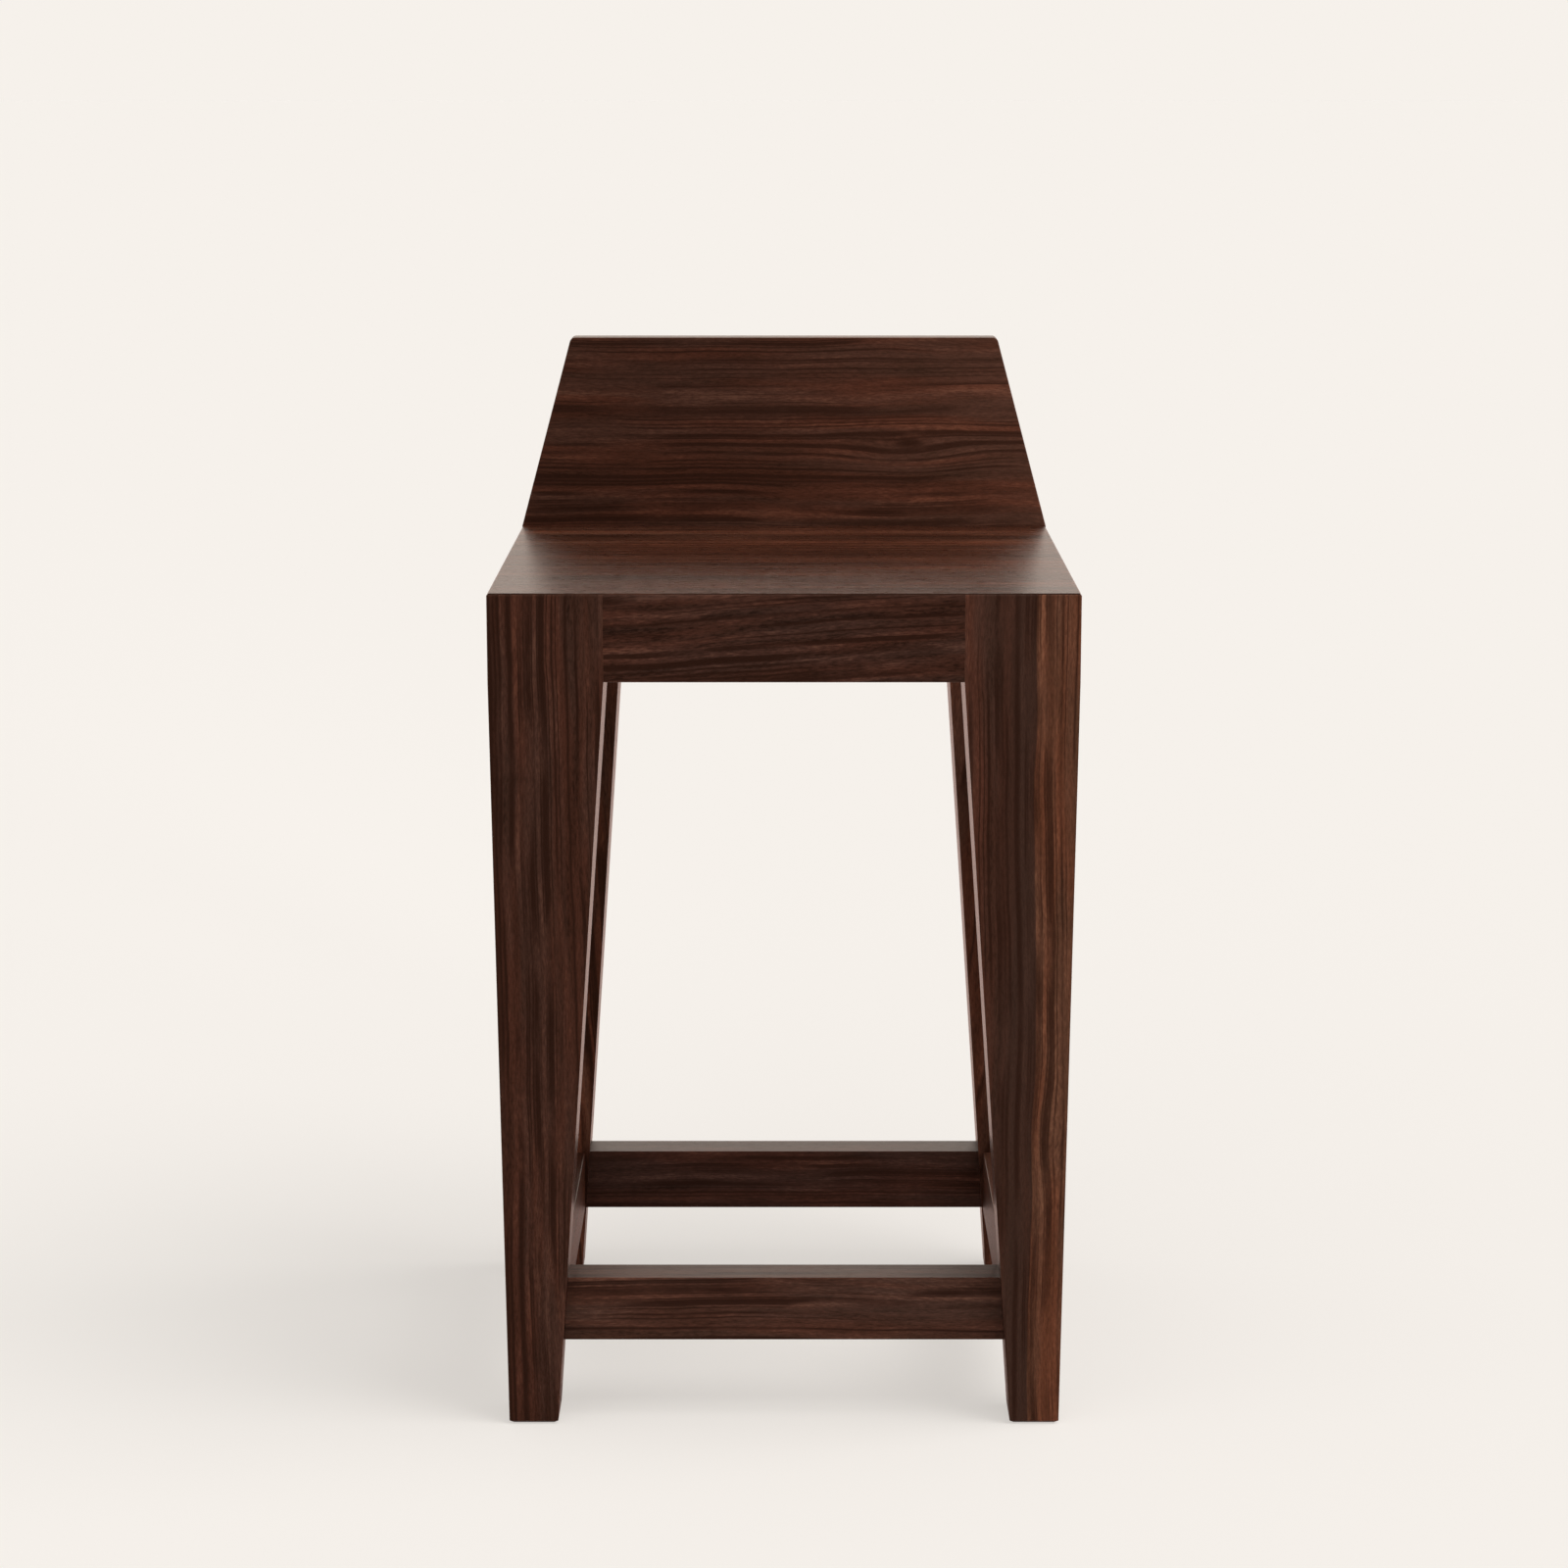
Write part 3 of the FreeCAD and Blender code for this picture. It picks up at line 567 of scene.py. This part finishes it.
# %% Boards
BOARDS = {
    "front_left_leg": dict(along="z", place=(0.4, 0.25, -0.06), tone=(0.88, 0.95, 1.02)),
    "front_right_leg": dict(along="z", place=(2.1, 0.25, 0.31), tone=(1.07, 1.16, 1.26),
                            contrast=0.85, line_shade=0.8, heart=(0.125, 0.03, 1.0),
                            knot=((2.329, 0.044, 0.110), 0.022)),
    "rear_left_leg": dict(along="z", place=(3.3, 0.12, 0.13)),
    "rear_right_leg": dict(along="z", place=(4.7, 0.10, 0.12)),
    "front_apron": dict(along="x", place=(6.45, 0.25, -0.52), tone=(0.83, 0.92, 1.03),
                        contrast=1.4, tilt=4.0),
    "rear_apron": dict(along="x", place=(7.1, 0.10, -0.50)),
    "left_apron": dict(along="y", place=(8.4, 0.10, -0.49)),
    "right_apron": dict(along="y", place=(9.3, 0.11, -0.47)),
    "front_stretcher": dict(along="x", place=(10.6, 0.24, 0.02), tone=(1.07, 1.27, 1.42),
                            roughness=FOOT_WORN_ROUGHNESS),
    "rear_stretcher": dict(along="x", place=(11.2, -0.13, 0.04), tone=(0.86, 0.97, 1.12),
                           line_shade=0.8, roughness=RAIL_ROUGHNESS),
    "left_stretcher": dict(along="y", place=(12.5, 0.07, 0.08), roughness=RAIL_ROUGHNESS),
    "right_stretcher": dict(along="y", place=(13.9, 0.09, 0.06), roughness=RAIL_ROUGHNESS),
    "seat_panel": dict(along="x", place=(15.1, 0.15, -0.2675), tone=(1.02, 0.99, 0.94),
                       contrast=1.4, growth=2.0),
    "backrest_board": dict(along="x", place=(17.6, -0.16, -0.52), tone=(0.95, 0.97, 0.98),
                           contrast=0.85, line_shade=0.85, bend=0.010,
                           knot=((17.703, 0.024, 0.183), 0.03)),
}
for board_name, sawing in BOARDS.items():
    eased_board(board_name, hardwood(board_name, **sawing))

# %% [markdown]
# Four battens of beech carry the seat panel inside the frame. Nobody sees them from above, so a joiner
# takes plain, light wood. Beech has a quiet ground and many short, darker flecks.

# %% Beech battens
BEECH_DARK = screen_colour(172, 127, 88)
BEECH_LIGHT = screen_colour(214, 176, 132)
BEECH_FLECK = screen_colour(140, 92, 60)
BEECH_GROUND = (7.0, 90.0, 90.0)
BEECH_GROUND_RANGE = (0.3, 0.7)
BEECH_FLECKS = (120.0, 1100.0, 500.0)
BEECH_FLECK_RANGE = (0.58, 0.68)
FLECK_SHADE = 0.5
FLECK_DULLNESS = 0.1
BEECH_ROUGHNESS = 0.55
BEECH_BUMP = 0.3
BATTENS = {
    "front_seat_cleat": ("x", (0.5, 0.2, 0.1)),
    "rear_seat_cleat": ("x", (1.7, 0.1, 0.2)),
    "left_seat_cleat": ("y", (2.9, 0.3, 0.1)),
    "right_seat_cleat": ("y", (4.1, 0.1, 0.3)),
}


def beech(name, along, place):
    """The finish of one piece of beech."""
    material, tree, shader = new_finish(f"beech_{name}")
    spot = sawn_from_log(tree, along, place)
    grain = stretched_noise(tree, spot, BEECH_GROUND, detail=4.0, roughness=0.6)
    grain = remap(tree, grain, *BEECH_GROUND_RANGE)
    flecks = remap(tree, stretched_noise(tree, spot, BEECH_FLECKS, detail=1.0), *BEECH_FLECK_RANGE)
    colour = blend_colours(tree, grain, BEECH_DARK, BEECH_LIGHT)
    colour = stained(tree, colour, flecks, FLECK_SHADE, BEECH_FLECK)
    dull = calculate(tree, "MULTIPLY_ADD", flecks, FLECK_DULLNESS, BEECH_ROUGHNESS)
    finish_shader(tree, shader, colour, dull, grain, BEECH_BUMP, GRAIN_RELIEF)
    return material


for batten_name, (along, place) in BATTENS.items():
    eased_board(batten_name, beech(batten_name, along, place))

# %% [markdown]
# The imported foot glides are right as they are, a bevelled disc let into the sole on a stem, so they stay
# and only get a finish: dark nylon, dulled and scratched where it rubs on the floor.

# %% Nylon glides
NYLON = screen_colour(34, 30, 28)
NYLON_SCUFFED = screen_colour(72, 66, 62)
SCUFFS = (900.0, 260.0, 900.0)
SCUFF_RANGE = (0.5, 0.75)
SCUFF_DULLNESS = 0.25
NYLON_ROUGHNESS = 0.45
NYLON_BUMP = 0.3
NYLON_RELIEF = 0.0001

nylon, tree, shader = new_finish("dark_nylon")
spot = add_node(tree, "ShaderNodeTexCoord").outputs["Object"]
scuffs = remap(tree, stretched_noise(tree, spot, SCUFFS, detail=4.0, roughness=0.65), *SCUFF_RANGE)
colour = blend_colours(tree, scuffs, NYLON, NYLON_SCUFFED)
dull = calculate(tree, "MULTIPLY_ADD", scuffs, SCUFF_DULLNESS, NYLON_ROUGHNESS)
finish_shader(tree, shader, colour, dull, scuffs, NYLON_BUMP, NYLON_RELIEF)
glides = [node for name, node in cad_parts.items() if name.endswith("_glide")]
for glide in glides:
    glide.data.materials.clear()
    glide.data.materials.append(nylon)
print("nylon on", len(glides), "glides")

# %% [markdown]
# Screws and dowels repeat, so each kind is made once by geometry nodes and set on points. The points come
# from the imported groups: every loose piece in a group is one fastener, square to the frame. The long side
# of its box is its axis, and its head is at the wider end.

# %% Find the fasteners
END_SLICE = 0.0002


def loose_pieces(node_name):
    """The corner points of every separate piece in a group, in the same order every time."""
    group = merged_copy(node_name)
    waiting = set(group.verts)
    pieces = []
    for first in group.verts:
        if first not in waiting:
            continue
        waiting.remove(first)
        found = [first]
        for corner in found:
            near = {edge.other_vert(corner) for edge in corner.link_edges} & waiting
            waiting -= near
            found.extend(near)
        pieces.append([corner.co.copy() for corner in found])
    group.free()
    return pieces


def head_and_way_out(corners):
    """The middle of a fastener's wider end, the direction out of the wood there, and its length."""
    low = Vector([min(corner[side] for corner in corners) for side in range(3)])
    high = Vector([max(corner[side] for corner in corners) for side in range(3)])
    middle = (low + high) / 2
    axis = max(range(3), key=lambda side: high[side] - low[side])

    def width_at(end):
        at_end = [corner for corner in corners if abs(corner[axis] - end) < END_SLICE]
        return max((corner - middle).length for corner in at_end)

    head = max((low[axis], high[axis]), key=width_at)
    way_out = Vector((0, 0, 0))
    way_out[axis] = math.copysign(1, head - middle[axis])
    place = middle.copy()
    place[axis] = head
    return place, way_out, high[axis] - low[axis]


# %% [markdown]
# One tree of nodes draws one fastener and sets it on every point: it turns the fastener's Z axis to the
# way out of the wood and spins it by a random angle, because nobody stops every screw at the same turn.
# The seed is fixed, so that the stool looks the same every time.

# %% Set fasteners on points
SPIN_SEED = 7
SPIN_AXIS = (0.0, 0.0, 1.0)
CRISP_ANGLE = math.radians(35)


def new_geometry(name, sizes):
    """A geometry tree with named sizes, a seed and a material as inputs."""
    tree = bpy.data.node_groups.new(name, "GeometryNodeTree")
    tree.interface.new_socket("Geometry", in_out="OUTPUT", socket_type="NodeSocketGeometry")
    tree.interface.new_socket("Points", in_out="INPUT", socket_type="NodeSocketGeometry")
    for size_name in ("Length", *sizes):
        tree.interface.new_socket(size_name, in_out="INPUT", socket_type="NodeSocketFloat")
    tree.interface.new_socket("Seed", in_out="INPUT", socket_type="NodeSocketInt")
    tree.interface.new_socket("Material", in_out="INPUT", socket_type="NodeSocketMaterial")
    return tree, tree.nodes.new("NodeGroupInput").outputs


def joined(tree, shapes):
    """Several shapes as one."""
    together = tree.nodes.new("GeometryNodeJoinGeometry")
    for shape in shapes:
        tree.links.new(shape, together.inputs[0])
    return together.outputs[0]


def moved_down(tree, shape, depth):
    """A shape moved against Z."""
    step = add_node(tree, "ShaderNodeCombineXYZ", {"Z": negative(tree, depth)}).outputs[0]
    return add_node(tree, "GeometryNodeTransform", {"Geometry": shape, "Translation": step}).outputs[0]


def drawn_along(tree, curve, section, scale):
    """A section drawn along a curve, closed at its ends."""
    inputs = {"Curve": curve, "Profile Curve": section, "Scale": scale, "Fill Caps": True}
    return add_node(tree, "GeometryNodeCurveToMesh", inputs).outputs[0]


def set_on_points(tree, inputs, shape):
    """The end of a fastener's tree: a copy of the shape on each point, as real geometry."""
    way = add_node(tree, "GeometryNodeInputNamedAttribute", {"Name": "way_out"}, data_type="FLOAT_VECTOR")
    way = {"Vector": way.outputs["Attribute"]}
    upright = add_node(tree, "FunctionNodeAlignRotationToVector", way, axis="Z").outputs[0]
    angle = add_node(tree, "FunctionNodeRandomValue", {2: 0.0, 3: math.tau, "Seed": inputs["Seed"]})
    spin = {"Axis": SPIN_AXIS, "Angle": angle.outputs[1]}
    spin = add_node(tree, "FunctionNodeAxisAngleToRotation", spin).outputs[0]
    turn = add_node(tree, "FunctionNodeRotateRotation", {0: upright, 1: spin}, rotation_space="LOCAL")
    copies = {"Points": inputs["Points"], "Instance": shape, "Rotation": turn.outputs[0]}
    copies = add_node(tree, "GeometryNodeInstanceOnPoints", copies).outputs[0]
    real = add_node(tree, "GeometryNodeRealizeInstances", {0: copies}).outputs[0]
    painted = {"Geometry": real, "Material": inputs["Material"]}
    painted = add_node(tree, "GeometryNodeSetMaterial", painted).outputs[0]
    add_node(tree, "NodeGroupOutput", {0: painted})


def fastener_group(node_name, tree, sizes, material):
    """Every fastener of one packed group, made by a tree and handed in as one plain mesh."""
    found = [head_and_way_out(corners) for corners in loose_pieces(node_name)]
    length = found[0][2]
    mesh = bpy.data.meshes.new(f"{node_name}_points")
    mesh.from_pydata([place for place, _, _ in found], [], [])
    ways = mesh.attributes.new("way_out", "FLOAT_VECTOR", "POINT")
    ways.data.foreach_set("vector", [share for _, way_out, _ in found for share in way_out])
    points = into_scene(f"{node_name}_points", mesh)
    modifier = points.modifiers.new("fasteners", "NODES")
    modifier.node_group = tree
    given_sizes = dict(sizes, Length=length, Seed=SPIN_SEED, Material=material)
    for socket in tree.interface.items_tree:
        if socket.name in given_sizes:
            modifier[socket.identifier] = given_sizes[socket.name]
    finished = plain_mesh(points, f"finished_{node_name}")
    finished.data.materials.clear()
    finished.data.materials.append(material)
    finished.data.shade_smooth()
    finished.data.set_sharp_from_angle(angle=CRISP_ANGLE)
    hand_in(finished, node_name)
    low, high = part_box(node_name)
    print(finished.name, len(found), "pieces, each", round(length * 1000), "mm;",
          len(finished.data.polygons), "faces; packed box", [round(x, 4) for x in high - low],
          "made box", [round(x, 4) for x in finished.dimensions])


# %% [markdown]
# A countersunk wood screw is a cone for the head with a cross cut into it, a core that ends in a point,
# and a thread. The head comes first. Its cross is cut by two bars, one turned square to the other.

# %% The screw's head
SCREW = {"Head radius": 0.004, "Head rise": 0.0022, "Core radius": 0.00145, "Tip": 0.006,
         "Cross reach": 0.0024, "Cross width": 0.0009, "Cross depth": 0.0014,
         "Thread height": 0.00052, "Thread pitch": 0.0017}
HEAD_CORNERS = 48
QUARTER_TURN = (0.0, 0.0, math.pi / 2)

screw, size = new_geometry("wood_screw", SCREW)


def cone(corners, top, bottom, height):
    """A cone that stands on the origin."""
    inputs = {"Vertices": corners, "Radius Top": top, "Radius Bottom": bottom, "Depth": height}
    return add_node(screw, "GeometryNodeMeshCone", inputs).outputs["Mesh"]


head = cone(HEAD_CORNERS, size["Head radius"], size["Core radius"], size["Head rise"])
head = moved_down(screw, head, size["Head rise"])
arm_size = add_node(screw, "ShaderNodeCombineXYZ", {
    "X": calculate(screw, "MULTIPLY", size["Cross reach"], 2.0),
    "Y": size["Cross width"],
    "Z": calculate(screw, "MULTIPLY", size["Cross depth"], 2.0),
}).outputs[0]
arm = add_node(screw, "GeometryNodeMeshCube", {"Size": arm_size}).outputs["Mesh"]
other_arm = add_node(screw, "GeometryNodeTransform", {"Geometry": arm, "Rotation": QUARTER_TURN}).outputs[0]
cut = add_node(screw, "GeometryNodeMeshBoolean", {"Mesh 1": head}, operation="DIFFERENCE", solver="EXACT")
for cutter in (arm, other_arm):
    screw.links.new(cutter, cut.inputs["Mesh 2"])
print("a screw head is", 2 * SCREW["Head radius"], "m across")

# %% [markdown]
# The thread is a spiral with a small square profile set on edge. It shrinks to nothing at both ends and
# follows the core into the point.

# %% The screw's core and thread
CORE_CORNERS = 32
POINT_END = 0.00005
THREADED_SHARE = 0.78
STEPS_PER_TURN = 24
THREAD_CORNERS = 4
THREAD_GROWS = (0.0, 0.25)
THREAD_SHRINKS = (0.92, 1.0)

below_head = calculate(screw, "SUBTRACT", size["Length"], size["Head rise"])
core_length = calculate(screw, "SUBTRACT", below_head, size["Tip"])
core = {"Vertices": CORE_CORNERS, "Radius": size["Core radius"], "Depth": core_length}
core = add_node(screw, "GeometryNodeMeshCylinder", core).outputs["Mesh"]
core = moved_down(screw, core, calculate(screw, "MULTIPLY_ADD", core_length, 0.5, size["Head rise"]))
point = cone(CORE_CORNERS, size["Core radius"], POINT_END, size["Tip"])
point = moved_down(screw, point, size["Length"])

threaded = calculate(screw, "MULTIPLY", below_head, THREADED_SHARE)
spiral = add_node(screw, "GeometryNodeCurveSpiral", {
    "Resolution": STEPS_PER_TURN, "Rotations": calculate(screw, "DIVIDE", threaded, size["Thread pitch"]),
    "Start Radius": size["Core radius"], "End Radius": size["Core radius"], "Height": threaded,
}).outputs[0]
spot = split_vector(screw, add_node(screw, "GeometryNodeInputPosition").outputs[0])
narrowed = calculate(screw, "MINIMUM", calculate(screw, "DIVIDE", spot["Z"], size["Tip"]), 1.0)
into_point = add_node(screw, "ShaderNodeCombineXYZ", {
    "X": calculate(screw, "MULTIPLY", spot["X"], narrowed),
    "Y": calculate(screw, "MULTIPLY", spot["Y"], narrowed),
    "Z": spot["Z"],
}).outputs[0]
spiral = add_node(screw, "GeometryNodeSetPosition", {"Geometry": spiral, "Position": into_point}).outputs[0]
spiral = moved_down(screw, spiral, size["Length"])
along = add_node(screw, "GeometryNodeSplineParameter").outputs["Factor"]
swell = calculate(screw, "MULTIPLY", remap(screw, along, *THREAD_GROWS),
                  remap(screw, along, *THREAD_SHRINKS, 1.0, 0.0))
ridge = {"Resolution": THREAD_CORNERS, "Radius": size["Thread height"]}
ridge = add_node(screw, "GeometryNodeCurvePrimitiveCircle", ridge).outputs[0]
thread = drawn_along(screw, spiral, ridge, swell)
set_on_points(screw, size, joined(screw, [cut.outputs[0], core, point, thread]))
print("a screw takes", len(screw.nodes), "nodes")

# %% [markdown]
# The screws are steel with a thin coat of zinc, which turns dull in blotches. A plain metal colour would
# look like chrome, so the blotches change both the colour and the roughness. Then every group of screws
# is set in place.

# %% Zinc, and the screws in place
ZINC_BRIGHT = screen_colour(205, 206, 204)
ZINC_DULL = screen_colour(150, 151, 146)
BLOTCHES = (700.0, 700.0, 700.0)
BLOTCH_RANGE = (0.35, 0.7)
BLOTCH_DULLNESS = 0.2
ZINC_ROUGHNESS = 0.28
ZINC_BUMP = 0.2
ZINC_RELIEF = 0.00005

zinc, tree, shader = new_finish("zinc_plated_steel")
spot = add_node(tree, "ShaderNodeTexCoord").outputs["Object"]
blotches = remap(tree, stretched_noise(tree, spot, BLOTCHES, detail=4.0, roughness=0.6), *BLOTCH_RANGE)
colour = blend_colours(tree, blotches, ZINC_BRIGHT, ZINC_DULL)
dull = calculate(tree, "MULTIPLY_ADD", blotches, BLOTCH_DULLNESS, ZINC_ROUGHNESS)
finish_shader(tree, shader, colour, dull, blotches, ZINC_BUMP, ZINC_RELIEF)
shader.inputs["Metallic"].default_value = 1.0
for group_name in ("cleat_screws", "seat_screws", "backrest_screws"):
    fastener_group(group_name, screw, SCREW, zinc)

# %% [markdown]
# A dowel is a beech rod with flutes, which let the glue and the air out of the hole, and with bevelled
# ends. Its section is a circle pulled inwards in waves, and it is drawn along a line whose ends shrink the
# section.

# %% Dowels
DOWEL = {"Radius": 0.004, "Bevel": 0.001, "Flutes": 18.0, "Flute depth": 0.0003}
SECTION_CORNERS = 144
ROD_STEPS = 77

dowel, size = new_geometry("fluted_dowel", DOWEL)
section = {"Resolution": SECTION_CORNERS, "Radius": size["Radius"]}
section = add_node(dowel, "GeometryNodeCurvePrimitiveCircle", section).outputs[0]
spot = add_node(dowel, "GeometryNodeInputPosition").outputs[0]
side = split_vector(dowel, spot)
angle = calculate(dowel, "ARCTAN2", side["Y"], side["X"])
wave = calculate(dowel, "COSINE", calculate(dowel, "MULTIPLY", angle, size["Flutes"]))
wave = calculate(dowel, "MULTIPLY_ADD", wave, -0.5, 0.5)
flute = calculate(dowel, "MULTIPLY", wave, size["Flute depth"])
inwards = scale_vector(dowel, spot, negative(dowel, calculate(dowel, "DIVIDE", flute, size["Radius"])))
section = add_node(dowel, "GeometryNodeSetPosition", {"Geometry": section, "Offset": inwards}).outputs[0]
far_end = add_node(dowel, "ShaderNodeCombineXYZ", {"Z": negative(dowel, size["Length"])}).outputs[0]
line = {"Start": (0.0, 0.0, 0.0), "End": far_end}
line = add_node(dowel, "GeometryNodeCurvePrimitiveLine", line).outputs[0]
line = add_node(dowel, "GeometryNodeResampleCurve", {"Curve": line, "Count": ROD_STEPS}).outputs[0]
along = add_node(dowel, "GeometryNodeSplineParameter").outputs["Length"]
to_end = calculate(dowel, "MINIMUM", along, calculate(dowel, "SUBTRACT", size["Length"], along))
bevelled = calculate(dowel, "MAXIMUM", calculate(dowel, "SUBTRACT", size["Bevel"], to_end), 0.0)
shrunk = calculate(dowel, "SUBTRACT", 1.0, calculate(dowel, "DIVIDE", bevelled, size["Radius"]))
set_on_points(dowel, size, drawn_along(dowel, line, section, shrunk))
fastener_group("backrest_dowels", dowel, DOWEL, beech("dowels", "y", (5.3, 0.2, 0.2)))

# %% [markdown]
# The studio is a pale floor that runs out to the horizon, and a background of the same colour, so no line
# parts them. A studio has light from every side, so a shadow on its floor is weak: what the camera sees of
# the floor is part paint and part glow, and only the paint takes the shadow. In the oil's gloss the floor
# is warmer, as a floor of boards would be. From below the floor is clear, so that the underside of the
# stool can be looked at.

# %% Floor
PALE = screen_colour(246, 241, 235)
WARM_FLOOR = (0.92, 0.66, 0.58, 1.0)
SHADOW_SHARE = 0.44
FLOOR_REACH = 60.0
FLOOR_CORNERS = ((-1, -1), (1, -1), (1, 1), (-1, 1))

floor_mesh = bpy.data.meshes.new("studio_floor")
corners = [(x * FLOOR_REACH, y * FLOOR_REACH, cad_low.z) for x, y in FLOOR_CORNERS]
floor_mesh.from_pydata(corners, [], [range(len(corners))])
floor = into_scene("studio_floor", floor_mesh)
floor_paint, tree, _ = new_finish("pale_floor")
path = add_node(tree, "ShaderNodeLightPath").outputs
paint_colour = blend_colours(tree, path["Is Glossy Ray"], PALE, WARM_FLOOR)
paint = add_node(tree, "ShaderNodeBsdfDiffuse", {"Color": paint_colour}).outputs[0]
glow = add_node(tree, "ShaderNodeEmission", {"Color": PALE, "Strength": 1.0}).outputs[0]
glow_share = calculate(tree, "MULTIPLY", path["Is Camera Ray"], 1.0 - SHADOW_SHARE)
above = add_node(tree, "ShaderNodeMixShader", {0: glow_share, 1: paint, 2: glow}).outputs[0]
below = add_node(tree, "ShaderNodeBsdfTransparent").outputs[0]
from_below = add_node(tree, "ShaderNodeNewGeometry").outputs["Backfacing"]
one_sided = add_node(tree, "ShaderNodeMixShader", {0: from_below, 1: above, 2: below}).outputs[0]
tree.links.new(one_sided, tree.nodes["Material Output"].inputs["Surface"])
floor_mesh.materials.append(floor_paint)
print("floor reaches", FLOOR_REACH, "m each way")

# %% [markdown]
# One broad lamp from the right gives the soft shadow to the left. A sun lamp with a wide disc does this
# evenly over the whole floor, which an area lamp close by would not. Sky and lamp together light the floor
# with a strength of one. A small spot lamp from the right lifts the right end of the backrest, so that its
# front doesn't look like one flat tone.

# %% Lamps
KEY_SHARE = 0.42
KEY_DISC_DEGREES = 44.0
KEY_FROM = Vector((0.57, -0.15, 0.81)).normalized()
ACCENT_PLACE = Vector((1.0, -1.2, 1.0))
ACCENT_TARGET = Vector((0.25, 0.19, 0.71))
ACCENT_WATTS = 70.0
ACCENT_BEAM_DEGREES = 22.0
ACCENT_RADIUS = 0.12


def lamp(name, kind, comes_from):
    """A lamp of a kind, turned so that its light comes from a direction."""
    made = into_scene(name, bpy.data.lights.new(name, kind))
    made.rotation_euler = comes_from.to_track_quat("Z", "Y").to_euler()
    return made


key = lamp("key_lamp", "SUN", KEY_FROM)
key.data.energy = KEY_SHARE * math.pi / KEY_FROM.z
key.data.angle = math.radians(KEY_DISC_DEGREES)
accent = lamp("accent_lamp", "SPOT", ACCENT_PLACE - ACCENT_TARGET)
accent.location = ACCENT_PLACE
accent.data.energy = ACCENT_WATTS
accent.data.spot_size = math.radians(ACCENT_BEAM_DEGREES)
accent.data.spot_blend = 1.0
accent.data.shadow_soft_size = ACCENT_RADIUS
print("key lamp of strength", round(key.data.energy, 2), "and accent lamp of", ACCENT_WATTS, "watts")

# %% [markdown]
# The sky gives the rest of the light, more from the front than from behind. At a glancing angle the oil
# mirrors the room around it. A real room is warmer than the pale backdrop and has a bright softbox high
# up. Only mirrored rays see these two, so they lie as a soft sheen on the seat, the stretchers and the
# inner sides of the legs, and the backdrop stays pale.

# %% Sky
FRONT_FILL = 0.78
WARM_ROOM = (0.87, 0.755, 0.665, 1.0)
SOFTBOX_RISE = (0.37, 0.47)
SOFTBOX_FALL = (0.48, 0.70)
SOFTBOX_GAIN = 3.9

sky = bpy.data.worlds.new("studio_sky")
sky.use_nodes = True
bpy.context.scene.world = sky
tree = sky.node_tree
path = add_node(tree, "ShaderNodeLightPath").outputs
mirrored = calculate(tree, "MAXIMUM", path["Is Glossy Ray"], path["Is Transmission Ray"])
looking = split_vector(tree, add_node(tree, "ShaderNodeTexCoord").outputs["Generated"])
fill = calculate(tree, "MULTIPLY_ADD", looking["Y"], -FRONT_FILL, 1.0)
fill = calculate(tree, "MULTIPLY", fill, 1.0 - KEY_SHARE)
softbox = calculate(tree, "MULTIPLY", remap(tree, looking["Z"], *SOFTBOX_RISE),
                    remap(tree, looking["Z"], *SOFTBOX_FALL, 1.0, 0.0))
softbox = calculate(tree, "MULTIPLY_ADD", softbox, SOFTBOX_GAIN, 1.0)
room = blend_colours(tree, 1.0, WARM_ROOM, softbox, "MULTIPLY")
light = blend_colours(tree, mirrored, fill, room)
seen = blend_colours(tree, path["Is Camera Ray"], light, PALE)
tree.links.new(seen, tree.nodes["Background"].inputs["Color"])
bpy.context.scene.view_settings.view_transform = "Standard"
print("sky made of", len(tree.nodes), "nodes")
